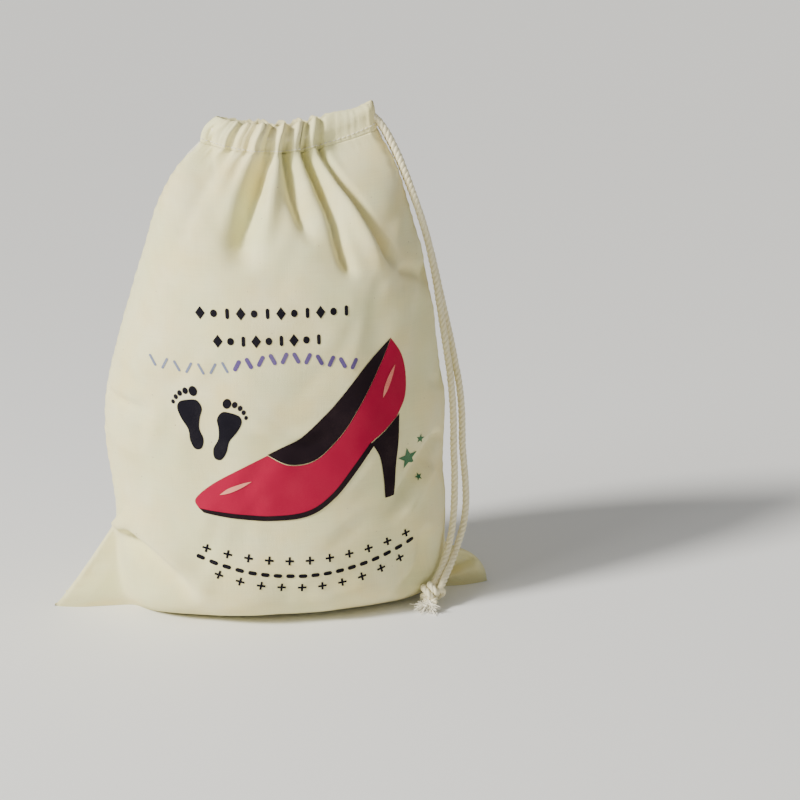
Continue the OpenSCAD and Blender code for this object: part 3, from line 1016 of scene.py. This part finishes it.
@dataclass
class ClothShell:
    """Front and back panels with their channels."""

    material: bpy.types.Material
    flat_size: tuple[float, float] = (0.300, 0.383)
    allowance_w: float = 9.4

    def build(self) -> dict[Side, ClothPanel]:
        """Builds the four cloth pieces and gives the two panels' surfaces."""
        seeds = {Side.FRONT: 3, Side.BACK: 11}
        panels = {side: ClothPanel(side, seed=seed) for side, seed in seeds.items()}
        for side, panel in panels.items():
            casing = panel.sheet_object(f"{side.word}_casing", *panel.channel_grid())
            body = panel.sheet_object(f"{side.word}_cloth", panel.grid, panel.uv)
            for piece, node in ((casing, f"{side.word}_channel"), (body, f"{side.word}_panel")):
                dress(piece, self.material, node)
                GATHER.dress(piece)
            extra = self._allowances(panel) if side is Side.FRONT else []
        return panels

    def _allowances(self, panel: ClothPanel) -> list[bpy.types.Object]:
        """Builds the seam allowances that lie inside the bag along its three seams."""
        pieces = []
        across = np.linspace(0.4, self.allowance_w, 6)
        sides = (("left_side_allowance", 0, 1), ("right_side_allowance", -1, -1))
        for node, column, sign in sides:
            edge = panel.grid[panel.bottom_rows:, column][::2]
            along = np.gradient(edge, axis=0)
            along[:, 1] = 0
            along /= np.linalg.norm(along, axis=1)[:, None]
            inward = np.stack([along[:, 2], 0 * along[:, 0], -along[:, 0]], axis=1) * sign
            grid = edge[:, None, :] + inward[:, None, :] * across[None, :, None]
            if sign < 0:
                grid = grid[:, ::-1]
            pieces.append(self._strip(node, panel, grid))
        foot = panel.grid[0, 6:-6:2]
        grid = np.repeat(foot[None], len(across), axis=0)
        grid[..., 2] = across[:, None] + 0.6
        pieces.append(self._strip("bottom_allowance", panel, grid))
        return pieces

    def _strip(self, node: str, panel: ClothPanel, grid: Points) -> bpy.types.Object:
        """Makes one allowance from its grid, in the plane of the seams."""
        grid = grid.copy()
        grid[..., 1] = -0.45
        grid[..., 2] = np.maximum(grid[..., 2], 0.3)
        piece = panel.sheet_object(f"{node}_cloth", grid, grid[..., [0, 2]] * MM)
        dress(piece, self.material, node)
        GATHER.follow(piece, node.startswith("left"))
        return piece


# ---------------------------------------------------------------------------
# Stitching
# ---------------------------------------------------------------------------


@dataclass
class Stitching:
    """Rows of lockstitch along the channels, overlocked raw edges and bartacks."""

    material: bpy.types.Material
    panels: dict[Side, ClothPanel]
    stitch_l: float = 2.5
    stitch_gap: float = 0.7
    stitch_rise: tuple[float, ...] = (-0.3, 0.16, 0.26, 0.26, 0.16, -0.3)
    stitch_swell: tuple[float, ...] = (0.6, 1, 1.05, 1.05, 1, 0.6)
    thread_r: float = 0.33
    overlock_pitch: float = 2.6
    overlock_thread_r: float = 0.2
    overlock_w: float = 1.1
    overlock_t: float = 0.78
    bar_pitch: float = 0.42
    bar_thread_r: float = 0.24

    def build(self) -> None:
        """Builds every sewn piece."""
        for side, panel in self.panels.items():
            self._channel_row(side, panel)
        for node in ("left_side_overlock", "right_side_overlock", "bottom_overlock"):
            self._overlock(node)
        for node in ("left_bartack", "cord_exit_bartack"):
            self._bartack(node)

    def _finish(self, piece: bpy.types.Object, node: str, gathers: bool) -> None:
        """Dresses a thread piece and either bakes it in place or attaches it to the bag to ride
        with it.
        """
        dress(piece, self.material, node)
        GATHER.follow(piece, gathers)

    def _channel_row(self, side: Side, panel: ClothPanel) -> None:
        """Sews one row of stitches just above the neck's top edge."""
        grid, _ = panel.channel_grid()
        sewn = slice(4, -3)
        line = grid[2, sewn]
        normal = ClothPanel.normals(grid)[2, sewn]
        arc = travelled(line)
        pitch = self.stitch_l + self.stitch_gap
        rise = np.array(self.stitch_rise)
        radius = self.thread_r * np.array(self.stitch_swell)
        parts = []
        for k in range(int(arc[-1] // pitch)):
            places = (k + np.linspace(0.1, 0.9, len(rise))) * pitch
            path = sampled(places, arc, line) + sampled(places, arc, normal) * rise[:, None]
            path[:, 1] *= side.value
            parts.append(tube_mesh(path * MM, radius * MM, 6))
        piece = make_piece(f"{side.word}_channel_stitches", *join_parts(parts))
        self._finish(piece, f"{side.word}_channel_stitching", True)

    def _overlock(self, node: str) -> None:
        """Winds overlock thread round a raw edge inside the bag."""
        obj = frame["nodes"][node]
        points = np.array([v.co for v in obj.data.vertices]) / MM
        if node.startswith("bottom"):
            low, high = points.min(0), points.max(0)
            ends = np.array([[low[0], 0, low[2] + 2], [high[0], 0, low[2] + 2]])
            line = even_curve(ends, 1.0)
        else:
            line = even_curve(self._raw_edge(points, node.startswith("left")), 1.0)
        arc = travelled(line)
        places = np.arange(0, arc[-1], self.overlock_pitch / 8)
        path = sampled(places, arc, line)
        inward = self._inward(path, node)
        turn = 2 * math.pi * places / self.overlock_pitch
        path += inward * (self.overlock_w * np.cos(turn) - 0.2)[:, None]
        path[:, 1] += self.overlock_t * np.sin(turn)
        path[:, 2] = np.maximum(path[:, 2], 0.3)
        radius = np.full(len(path), self.overlock_thread_r * MM)
        piece = make_piece(f"{node}_thread", *tube_mesh(path * MM, radius, 5))
        self._finish(piece, node, node.startswith("left"))

    @staticmethod
    def _raw_edge(points: Points, left: bool) -> Points:
        """Finds a side strip's outer line from its points, bottom to top."""
        order = sorted({(round(p[2], 1), round(p[0], 1)) for p in points})
        line = []
        for z, x in order:
            if line and z - line[-1][2] < 6:
                further = x < line[-1][0] if left else x > line[-1][0]
                if z - line[-1][2] < 2.5 and further:
                    line[-1] = (x, 0, z)
                continue
            line.append((x, 0, z))
        return np.array(line, float)

    @staticmethod
    def _inward(path: Points, node: str) -> Points:
        """Gives the direction from a raw edge into the bag, in the seam's plane."""
        if node.startswith("bottom"):
            return np.tile([0.0, 0.0, 1.0], (len(path), 1))
        tangent = np.gradient(path, axis=0)
        tangent /= np.linalg.norm(tangent, axis=1)[:, None]
        sign = 1.0 if node.startswith("left") else -1.0
        return sign * np.stack([tangent[:, 2], np.zeros(len(path)), -tangent[:, 0]], axis=1)

    def _bartack(self, node: str) -> None:
        """Sews a dense zigzag bar over the seam's top, at the side it closes."""
        left = node.startswith("left")
        grid = self.panels[Side.FRONT].grid
        edge = grid[:, 0 if left else -1]
        below = edge[-9 if left else -6]
        along = edge[-1] - below
        length = float(np.linalg.norm(along))
        along /= length
        outward = np.array([-along[2], 0, along[0]]) * (1 if left else -1)
        count = int(length / self.bar_pitch)
        path = []
        for k in range(count + 1):
            turn = -1 if k % 2 else 1
            place = below + along * length * k / count
            for depth, out in ((-1.9, -1.8), (-1.4, 0.25), (1.4, 0.25), (1.9, -1.8)):
                point = place + outward * out
                path.append((point[0], depth * turn, point[2]))
        line = even_curve(np.array(path), 0.6)
        radius = np.full(len(line), self.bar_thread_r * MM)
        piece = make_piece(f"{node}_thread", *tube_mesh(line * MM, radius, 6))
        self._finish(piece, node, left)


# ---------------------------------------------------------------------------
# Print
# ---------------------------------------------------------------------------

Outline = list[tuple[float, float]]

# Films that lie on another film, and how much further they stand off the cloth.
UPPER_FILMS = {"print_dark": 1.6, "print_glow": 2.1}


def arc_points(cx: float, cy: float, rx: float, ry: float, start: float, end: float,
               count: int = 16) -> Outline:
    """Gives points along an elliptic arc, with angles in degrees."""
    turns = np.radians(np.linspace(start, end, count))
    return [(cx + rx * math.cos(t), cy + ry * math.sin(t)) for t in turns]


def turned(outline: Outline, angle: float, x: float, z: float) -> Outline:
    """Turns an outline about its origin by degrees and moves it."""
    c, s = math.cos(math.radians(angle)), math.sin(math.radians(angle))
    return [(x + c * px - s * pz, z + s * px + c * pz) for px, pz in outline]


def star(radius: float) -> Outline:
    """Gives a five-pointed star's outline."""
    reach = [radius, radius * 0.42] * 5
    return [(r * math.sin(math.pi * k / 5), r * math.cos(math.pi * k / 5))
            for k, r in enumerate(reach)]


def plus_sign(size: float, bar: float) -> Outline:
    """Gives a plus sign's outline."""
    s, b = size / 2, bar / 2
    return [(-b, -s), (b, -s), (b, -b), (s, -b), (s, b), (b, b), (b, s), (-b, s), (-b, b),
            (-s, b), (-s, -b), (-b, -b)]


def curved(points: Outline, count: int = 10) -> Outline:
    """Rounds an open outline by a smooth curve through its points."""
    fine = catmull(np.array(points, float), np.linspace(0, len(points) - 1, count * len(points)))
    return [tuple(p) for p in fine]


@dataclass
class FrontPrint:
    """The front's own generic motif: marks, bare footprints, a court shoe, stars and plus signs."""

    panel: ClothPanel
    inks: dict[str, bpy.types.Material]
    shoe_at: tuple[float, float] = (18, 134)
    cell: float = 1.9
    clear: float = 0.26 * MM
    ray_from: float = -0.2

    def build(self) -> None:
        """Prints each colour as one thin film that follows the cloth."""
        tree = self._cloth_tree()
        for word, outlines in (
            ("black", self.marks() + self.footprints() + self.plus_rows()),
            ("blue", self.slanted_row(0, 7, 1.5)),
            ("violet", self.slanted_row(7, 18, 2.6)),
            ("red", self.shoe_upper()),
            ("dark", self.shoe_dark()),
            ("glow", self.shoe_glow()),
            ("green", self.stars()),
        ):
            self._film(f"print_{word}", outlines, self.inks[word], tree)

    def _cloth_tree(self) -> BVHTree:
        """Gives the front's outer surface for rays."""
        rows, cols = self.panel.grid.shape[:2]
        points = [Vector(p) for p in self.panel.grid.reshape(-1, 3) * MM]
        faces = [(i * cols + j, i * cols + j + 1, (i + 1) * cols + j + 1, (i + 1) * cols + j)
                 for i in range(rows - 1) for j in range(cols - 1)]
        return BVHTree.FromPolygons(points, faces)

    def _film(self, name: str, outlines: list[Outline], ink: bpy.types.Material,
              tree: BVHTree) -> None:
        """Cuts flat outlines into small faces and lays them on the cloth."""
        points, faces = [], []
        for outline in outlines:
            start = len(points)
            points.extend((x * MM, self.ray_from, z * MM) for x, z in outline)
            faces.append(tuple(range(start, len(points))))
        clear = self.clear * UPPER_FILMS.get(name, 1)
        points = np.array(points)
        piece = make_piece(name, points, faces)
        choose(piece)
        bpy.ops.object.mode_set(mode="EDIT")
        bpy.ops.mesh.select_all(action="SELECT")
        bpy.ops.mesh.quads_convert_to_tris(ngon_method="BEAUTY")
        cell = self.cell * MM
        for axis in (0, 2):
            direction = np.eye(3)[axis]
            for value in np.arange(points[:, axis].min() + cell, points[:, axis].max(), cell):
                bpy.ops.mesh.select_all(action="SELECT")
                bpy.ops.mesh.bisect(plane_co=tuple(direction * value), plane_no=tuple(direction))
        bpy.ops.object.mode_set(mode="OBJECT")
        for vertex in piece.data.vertices:
            start = Vector((vertex.co.x, self.ray_from, vertex.co.z))
            hit, normal, _, _ = tree.ray_cast(start, Vector((0, 1, 0)))
            if hit is not None:
                away = normal if normal.y < 0 else -normal
                vertex.co = hit + away * clear
        piece.data.update()
        shade_smooth(piece)
        facing = sum(polygon.normal.y * polygon.area for polygon in piece.data.polygons)
        if facing > 0:
            piece.data.flip_normals()
        piece.data.materials.append(ink)
        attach(piece, "bag")
        LOG.info("%s: %d faces", name, len(piece.data.polygons))

    def marks(self) -> list[Outline]:
        """Two rows of bold lozenges, discs and bars above the shoe."""
        outlines = []
        for z, left, right in ((207, -46, 44), (190.5, -36, 26)):
            count = int((right - left) / 7.6)
            for k in range(count + 1):
                x = left + (right - left) * k / count
                if k % 3 == 0:
                    outlines.append([(x - 3.0, z), (x, z - 4.0), (x + 3.0, z), (x, z + 4.0)])
                elif k % 3 == 1:
                    outlines.append(arc_points(x, z, 2.1, 2.3, 0, 342, 20))
                else:
                    outlines.append(self._dash(x, z, 6.4, 2.3, 90))
        return outlines

    @staticmethod
    def _dash(x: float, z: float, length: float, bar: float, angle: float = 0.0) -> Outline:
        """A dash with round ends."""
        r = bar / 2
        right = arc_points(length / 2 - r, 0, r, r, -90, 90, 7)
        left = arc_points(r - length / 2, 0, r, r, 90, 270, 7)
        return turned(right + left, angle, x, z)

    def slanted_row(self, first: int, last: int, bar: float) -> list[Outline]:
        """Part of one longer row of slanted bars."""
        return [self._dash(-76 + 7.3 * k, 176.5 - 3.4 * math.sin(0.42 * k), 7.6, bar,
                           62 if k % 2 else -62) for k in range(first, last)]

    def footprints(self) -> list[Outline]:
        """A pair of bare footprints beside the shoe."""
        outlines = []
        for x, z, angle, mirror in ((-54, 143, 13, 1), (-32, 136, -20, -1)):
            sole = curved([(0, 11), (6.2, 9.6), (8.0, 4), (5.2, -1.5), (3.2, -8), (4.0, -15),
                           (1.4, -20.5), (-2.8, -20), (-4.2, -14), (-3.6, -7), (-6.0, 0.5),
                           (-6.8, 7), (-4.4, 10.6), (0, 11)], 4)
            outlines.append(turned([(mirror * px, pz) for px, pz in sole[:-1]], angle, x, z))
            for tx, tz, r in ((5.4, 15.4, 3.2), (0.8, 16.4, 2.1), (-2.9, 15.6, 1.8),
                              (-5.8, 13.8, 1.6), (-8.2, 11.2, 1.4)):
                toe = arc_points(mirror * tx, tz, r * 0.82, r, 0, 345, 14)
                outlines.append(turned(toe, angle, x, z))
        return outlines

    def _placed(self, shape: Outline) -> Outline:
        """Moves a shape drawn about the shoe's middle to its place on the bag."""
        return [(self.shoe_at[0] + x, self.shoe_at[1] + z) for x, z in shape]

    def shoe_upper(self) -> list[Outline]:
        """A plain court shoe's upper, in side view with its toe to the left."""
        vamp = [(-69, -50), (-71, -44), (-62, -35), (-44, -24), (-26, -15)]
        topline = [(-26, -15), (-12, -22), (4, -20), (20, -6), (34, 14), (48, 38), (55, 53)]
        back = [(55, 53), (62, 42), (65, 28), (64, 14), (58, 2)]
        seat = [(58, 2), (50, -5), (40, -12)]
        sole = [(40, -12), (28, -27), (14, -43), (-2, -53), (-26, -55), (-50, -53), (-69, -50)]
        line = curved(vamp, 6)[:-1] + curved(topline, 7)[:-1] + curved(back, 7)[:-1]
        return [self._placed(line + seat[:-1] + curved(sole, 7)[:-1])]

    def shoe_dark(self) -> list[Outline]:
        """The shoe's open lining, its thin outsole and its tapered heel."""
        far_side = [(55, 53.5), (36, 36), (16, 14), (-2, -2), (-14, -9), (-26, -14.5)]
        near_side = [(-26, -14.5), (-12, -21.4), (4, -19.4), (20, -5.4), (34, 14.6), (48, 38.6),
                     (55, 53.5)]
        lining = curved(far_side, 7)[:-1] + curved(near_side, 7)[:-1]
        under = [(40, -11.6), (28, -26.6), (14, -42.6), (-2, -52.6), (-26, -54.6), (-50, -52.6),
                 (-69, -49.8)]
        lower = [(-66, -52.6), (-50, -55.8), (-26, -58), (-1, -56), (16, -45.4), (31, -28.6),
                 (42, -14.4)]
        back = [(60, 4), (59, -14), (57, -32), (56, -50)]
        front = [(49.5, -50), (48.5, -36), (46, -22), (40.6, -12.4)]
        heel = curved(back, 6) + curved(front, 6) + [(50, -5.6), (57.6, 1.4)]
        outsole = curved(under, 6) + curved(lower, 6)
        return [self._placed(lining), self._placed(heel), self._placed(outsole)]

    def shoe_glow(self) -> list[Outline]:
        """Two leaf-shaped glints, on the toe and on the quarter."""
        leaf = curved([(-11, 0), (-4, 1.7), (5, 1.3), (11, 0)], 6)[:-1] \
            + curved([(11, 0), (4, -1.1), (-5, -1.2), (-11, 0)], 6)[:-1]
        return [self._placed(turned(leaf, 24, -46, -36)), self._placed(turned(leaf, 66, 53, 26))]

    def stars(self) -> list[Outline]:
        """A green star with two small ones."""
        return [turned(star(7.2), 8, 84, 107), turned(star(3.2), -12, 93, 118),
                turned(star(2.6), 20, 92, 92)]

    def plus_rows(self) -> list[Outline]:
        """Bowed rows of plus signs with a bowed row of bars between them."""
        outlines = []
        rows = ((-47, 82, 57, 9, 11), (-51, 85, 51, 13.5, 18), (-40, 78, 40, 11, 10))
        for row, (left, right, high, sag, count) in enumerate(rows):
            for k in range(count):
                t = -1 + 2 * k / (count - 1)
                x = (left + right) / 2 + (right - left) / 2 * t
                z = high - sag * (1 - t * t)
                slope = math.degrees(math.atan2(4 * sag * t, right - left))
                if row == 1:
                    outlines.append(self._dash(x, z, 5.6, 2.7, slope))
                else:
                    outlines.append(turned(plus_sign(5.6, 1.4), slope, x, z))
        return outlines


# ---------------------------------------------------------------------------
# Cord, knot and cut ends
# ---------------------------------------------------------------------------

FRONT_ROUTE = (
    (74.1, -3.9, 318.3), (79, -4.6, 311), (85.5, -5, 298), (91, -6, 284),
    (96, -7, 270), (100.5, -8, 256), (104.5, -9, 242), (107.5, -10, 228),
    (110, -11, 214), (112, -12, 200), (114, -13, 186), (116, -14, 172),
    (118, -15, 158), (119.5, -15.5, 144), (120.5, -16, 130), (121, -16, 116),
    (121, -16.5, 102), (121.5, -17, 88), (121.5, -17.5, 74), (121, -18.5, 60),
    (119, -22, 46), (115, -27, 33), (109, -34.5, 21.5), (103.6, -41, 14.8),
)
BACK_ROUTE = (
    (74.1, 3.9, 318.3), (79, 4.4, 311), (85.5, 4.4, 298), (91.5, 4.2, 284),
    (97, 3.6, 270), (102, 2.8, 256), (106, 2, 242), (109.5, 1, 228),
    (112.5, 0, 214), (115.5, -1, 200), (118.5, -2, 186), (121.5, -3, 172),
    (124, -4, 158), (126.5, -5, 144), (128, -6, 130), (128.5, -7, 116),
    (128.5, -8, 102), (129.5, -9, 88), (130.5, -10, 74), (130.5, -11.5, 60),
    (128, -15.5, 46.5), (122.5, -22.5, 34), (115.5, -33, 23.5), (108, -44.5, 14.8),
)
EXIT_BEND = ((71.6, -4, 320.8), (69.4, -4.2, 322.3), (65.2, -4.6, 323.2), (60.5, -4.8, 322))
PIVOT = (72, 0, 320.5)


@dataclass
class Drawstring:
    """The three-ply cotton cord: its run in the channels, two tails, knot and cut ends."""

    yarn: bpy.types.Material
    fluff: bpy.types.Material
    form: BagForm = field(default_factory=BagForm)
    cord_d: float = 5.0
    ply_r: float = 1.52
    ply_out: float = 1.02
    lay_length: float = 11.0
    knot_centre: tuple[float, float, float] = (102.5, -46.5, 10.4)
    knot_axis: tuple[float, float, float] = (0.5, 0.62, 0.6)
    knot_ring: float = 4.1
    knot_tube: float = 2.9
    strand_out: float = 2.2
    frayed_yarns: int = 54
    exit_overlap: float = 0.2

    def build(self) -> None:
        """Builds the whole cord."""
        knot = self._knot()
        ends = [self._cut_end(Side.FRONT), self._cut_end(Side.BACK)]
        self._channel_run()
        for side, route in ((Side.FRONT, FRONT_ROUTE), (Side.BACK, BACK_ROUTE)):
            with_pieces = [knot, *ends] if side is Side.FRONT else []
            self._tail(side, route, with_pieces)

    def _plies(self, path: Points, scale: float = 1.0, sides: int = 8) -> tuple[Points, list]:
        """Twists three plies round a path given in millimetres."""
        first, second = turning_frames(path)
        arc = travelled(path)
        parts = []
        for k in range(3):
            turn = 2 * math.pi * (arc / self.lay_length + k / 3)
            off = first * np.cos(turn)[:, None] + second * np.sin(turn)[:, None]
            ply = path + off * self.ply_out * scale
            parts.append(tube_mesh(ply * MM, np.full(len(path), self.ply_r * scale * MM), sides))
        return join_parts(parts)

    def _at_exit(self, y: float) -> tuple[float, float, float]:
        """Gives the point beside the pivot where a tail meets the cord's own run."""
        return PIVOT[0] - self.exit_overlap, y, PIVOT[2] + self.exit_overlap

    def _tail(self, side: Side, route: tuple, with_pieces: list[bpy.types.Object]) -> None:
        """Makes one free tail from the exit to the knot."""
        start = self._at_exit(route[0][1])
        path = even_curve(np.array((start, *route), float), 1.5)
        piece = make_piece(f"{side.word}_tail_cord", *self._plies(path))
        dress(piece, self.yarn, f"{side.word}_tail")
        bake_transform(piece)
        length = float(travelled(path)[-1]) * MM
        LOG.info("%s: %.3f m", piece.name, length)

    def _channel_run(self) -> None:
        """Makes the run inside the channels, and the two straight lengths at the exit."""
        line = [p for p in self.form.mouth_line if p[0] < 60]
        height = [self.form.channel_z + self.form.mouth_rise * (x - self.form.mouth_x) ** 2
                  for x, _ in line]
        front = [(x, y, z) for (x, y), z in zip(line, height)][:-1]
        turn = (line[-1][0], 0.0, height[-1])
        back = [(x, -y, z) for x, y, z in reversed(front)]
        path = even_curve(np.array([*front[2:], turn, *back[:-2]]), 1.6)
        loop = make_piece("drawstring_loop", *self._plies(path))
        dress(loop, self.yarn, "drawstring")
        GATHER.dress(loop)
        parts = []
        for sign in (1, -1):
            route = [(x, sign * y, z) for x, y, z in (*EXIT_BEND, *front[:3])]
            route[0] = self._at_exit(route[0][1])
            parts.append(self._plies(even_curve(np.array(route), 1.5)))
        lengths = make_piece("drawstring_exit_lengths", *join_parts(parts))
        dress(lengths, self.yarn, "drawstring")
        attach(lengths, "drawstring")

    def _knot_frame(self) -> tuple[Points, Points, Points]:
        """Gives the knot's axis and two directions square to it."""
        axis = np.array(self.knot_axis) / np.linalg.norm(self.knot_axis)
        side = np.cross(axis, [0, 0, 1.0])
        side /= np.linalg.norm(side)
        return axis, side, np.cross(side, axis)

    def _knot(self) -> bpy.types.Object:
        """Ties both tails together in one overhand knot."""
        axis, side, up = self._knot_frame()
        centre = np.array(self.knot_centre)
        parts = []
        turns = np.linspace(0.14, 0.86, 46) * 2 * math.pi
        reach = self.knot_ring + self.knot_tube * np.cos(3 * turns)
        local = np.stack([reach * np.cos(2 * turns), reach * np.sin(2 * turns),
                          self.knot_tube * 1.1 * np.sin(3 * turns)], axis=1)
        path = centre + local[:, :1] * side + local[:, 1:2] * up + local[:, 2:] * axis
        first, second = turning_frames(path)
        for sign, route in ((-1, FRONT_ROUTE), (1, BACK_ROUTE)):
            strand = path + sign * self.strand_out * (0.75 * first + 0.66 * second)
            entry = np.array(route[-1], float)
            lead = [entry + axis * 1.5, entry - axis * 2.5]
            tail = [centre - axis * 5 + sign * 2.6 * side, centre - axis * 8 + sign * 3.4 * side]
            whole = even_curve(np.array([*lead, *strand[2:-2:3], *tail]), 1.2)
            parts.append(self._plies(whole, 0.9, 7))
        points, faces = join_parts(parts)
        points[:, 2] = np.maximum(points[:, 2], 0.2 * MM)
        piece = make_piece("overhand_knot", points, faces)
        dress(piece, self.yarn, "stopper_knot")
        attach(piece, "tails")
        return piece

    def _cut_end(self, side: Side) -> bpy.types.Object:
        """Frays one cut end into loose yarns that splay over the floor."""
        axis, across, _ = self._knot_frame()
        sign = -1.0 if side is Side.FRONT else 1.0
        rng = np.random.default_rng(21 if side is Side.FRONT else 34)
        low, high = (np.array(corner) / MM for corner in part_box(f"{side.word}_cut_end"))
        start = np.array(self.knot_centre) - axis * 6.5 + sign * 3.0 * across
        goal = (low + high) / 2
        out = goal - start
        out[2] = -start[2] * 0.55
        out /= np.linalg.norm(out)
        parts = []
        for _ in range(self.frayed_yarns):
            spread = rng.normal(0, 0.34, 3)
            reach = rng.uniform(9.5, 14.0)
            heading = out + spread
            heading /= np.linalg.norm(heading)
            foot = start + rng.normal(0, 0.95, 3)
            bend = rng.normal(0, 1.3, 3)
            path = np.array([foot, foot + out * reach * 0.4,
                             foot + out * reach * 0.45 + heading * reach * 0.3 + bend * 0.5,
                             foot + out * reach * 0.4 + heading * reach * 0.6 + bend])
            path[:, 2] = np.maximum(path[:, 2], 0.45)
            line = even_curve(path, 1.5)
            line[:, 2] = np.maximum(line[:, 2], 0.4)
            radius = np.linspace(0.34, 0.2, len(line))
            parts.append(tube_mesh(line * MM, radius * MM, 5))
        points, faces = join_parts(parts)
        points[:, 2] = np.maximum(points[:, 2], 0.05 * MM)
        piece = make_piece(f"{side.word}_frayed_end", points, faces)
        dress(piece, self.fluff, f"{side.word}_cut_end")
        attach(piece, "tails")
        return piece


# ---------------------------------------------------------------------------
# Studio
# ---------------------------------------------------------------------------


@dataclass
class Studio:
    """Pale floor, soft light from the left and the camera."""

    lens: float = 74.25
    camera_at: tuple[float, float, float] = (-0.0697, -1.071, 0.398)
    turn_deg: float = -9.5
    tilt_deg: float = 13.8
    shift_x: float = -0.041
    air: Colour = (0.975, 0.97, 0.96, 1)
    fill: float = 0.37
    backdrop: float = 0.90
    floor_side: float = 400
    sun_strength: float = 4.8
    sun_angle_deg: float = 11
    sun_colour: tuple[float, float, float] = (1.0, 0.975, 0.93)
    sun_heading: tuple[float, float, float] = (0.93, 0.36, -0.66)
    side_light_at: tuple[float, float, float] = (-0.9, -0.55, 0.75)
    side_light_side: float = 0.5
    side_light_power: float = 7
    bag_middle: tuple[float, float, float] = (0, 0, 0.16)

    def build(self) -> None:
        """Sets up floor, lights, world and camera."""
        self._floor()
        self._sun()
        self._side_light()
        self._world()
        self._camera()

    def _world(self) -> None:
        """Adds the soft fill light, and a backdrop behind the floor in the floor's own tone."""
        world = bpy.data.worlds.new("studio")
        world.use_nodes = True
        tree = world.node_tree
        background = tree.nodes["Background"]
        background.inputs["Color"].default_value = self.air
        seen = tree.nodes.new("ShaderNodeLightPath").outputs["Is Camera Ray"]
        strength = tree.nodes.new("ShaderNodeMapRange")
        strength.inputs["To Min"].default_value = self.fill
        strength.inputs["To Max"].default_value = self.backdrop
        tree.links.new(seen, strength.inputs["Value"])
        tree.links.new(strength.outputs["Result"], background.inputs["Strength"])
        bpy.context.scene.world = world

    def _floor(self) -> None:
        """Adds a floor that reaches as far as the camera sees."""
        choose()
        bpy.ops.mesh.primitive_plane_add(size=self.floor_side, location=(0, 0, 0))
        floor = bpy.context.object
        floor.name = "studio_floor"
        bpy.ops.object.transform_apply(location=True, rotation=True, scale=True)
        floor.data.materials.append(StudioFloor().build())

    def _sun(self) -> None:
        """Adds the wide soft main light, from high on the left."""
        data = bpy.data.lights.new("key_light", "SUN")
        data.energy = self.sun_strength
        data.angle = math.radians(self.sun_angle_deg)
        data.color = self.sun_colour
        self._place_lamp(data, (0, 0, 0), self.sun_heading)

    def _side_light(self) -> None:
        """Adds one soft square light on the left that faces the bag."""
        data = bpy.data.lights.new("side_light", "AREA")
        data.size = self.side_light_side
        data.energy = self.side_light_power
        heading = Vector(self.bag_middle) - Vector(self.side_light_at)
        self._place_lamp(data, self.side_light_at, heading)

    @staticmethod
    def _place_lamp(data: bpy.types.Light, place: tuple[float, float, float],
                    heading: Vector | tuple[float, float, float]) -> None:
        """Puts a light at its place and turns it to where it shines."""
        lamp = bpy.data.objects.new(data.name, data)
        lamp.location = place
        lamp.rotation_euler = Vector(heading).to_track_quat("-Z", "Y").to_euler()
        bpy.context.scene.collection.objects.link(lamp)

    def _camera(self) -> None:
        """Adds the camera and makes it the scene's."""
        data = bpy.data.cameras.new("camera")
        data.lens = self.lens
        data.sensor_width = 36
        data.shift_x = self.shift_x
        camera = bpy.data.objects.new("camera", data)
        camera.location = self.camera_at
        camera.rotation_euler = (math.radians(90 - self.tilt_deg), 0, math.radians(self.turn_deg))
        bpy.context.scene.collection.objects.link(camera)
        bpy.context.scene.camera = camera


# ---------------------------------------------------------------------------
# The whole bag
# ---------------------------------------------------------------------------


def main() -> None:
    """Builds the studio, the cord, the cloth, the stitching and the print, in that order."""
    logging.basicConfig(level=logging.INFO, format="%(name)s: %(message)s")
    Studio().build()
    yarn = CottonYarn("cotton_cord", (0.95, 0.88, 0.60, 1), (0.85, 0.76, 0.48, 1)).build()
    fluff = CottonYarn("cord_fluff", (0.92, 0.88, 0.74, 1), (0.80, 0.74, 0.56, 1)).build()
    thread = CottonYarn("sewing_thread", (0.90, 0.86, 0.69, 1), (0.78, 0.72, 0.54, 1)).build()
    Drawstring(yarn, fluff).build()
    cloth = CottonCloth().build()
    panels = ClothShell(cloth).build()
    Stitching(thread, panels).build()
    inks = {ink.name.removeprefix("ink_"): ink.build() for ink in INKS}
    FrontPrint(panels[Side.FRONT], inks).build()


if __name__ == "__main__":
    main()
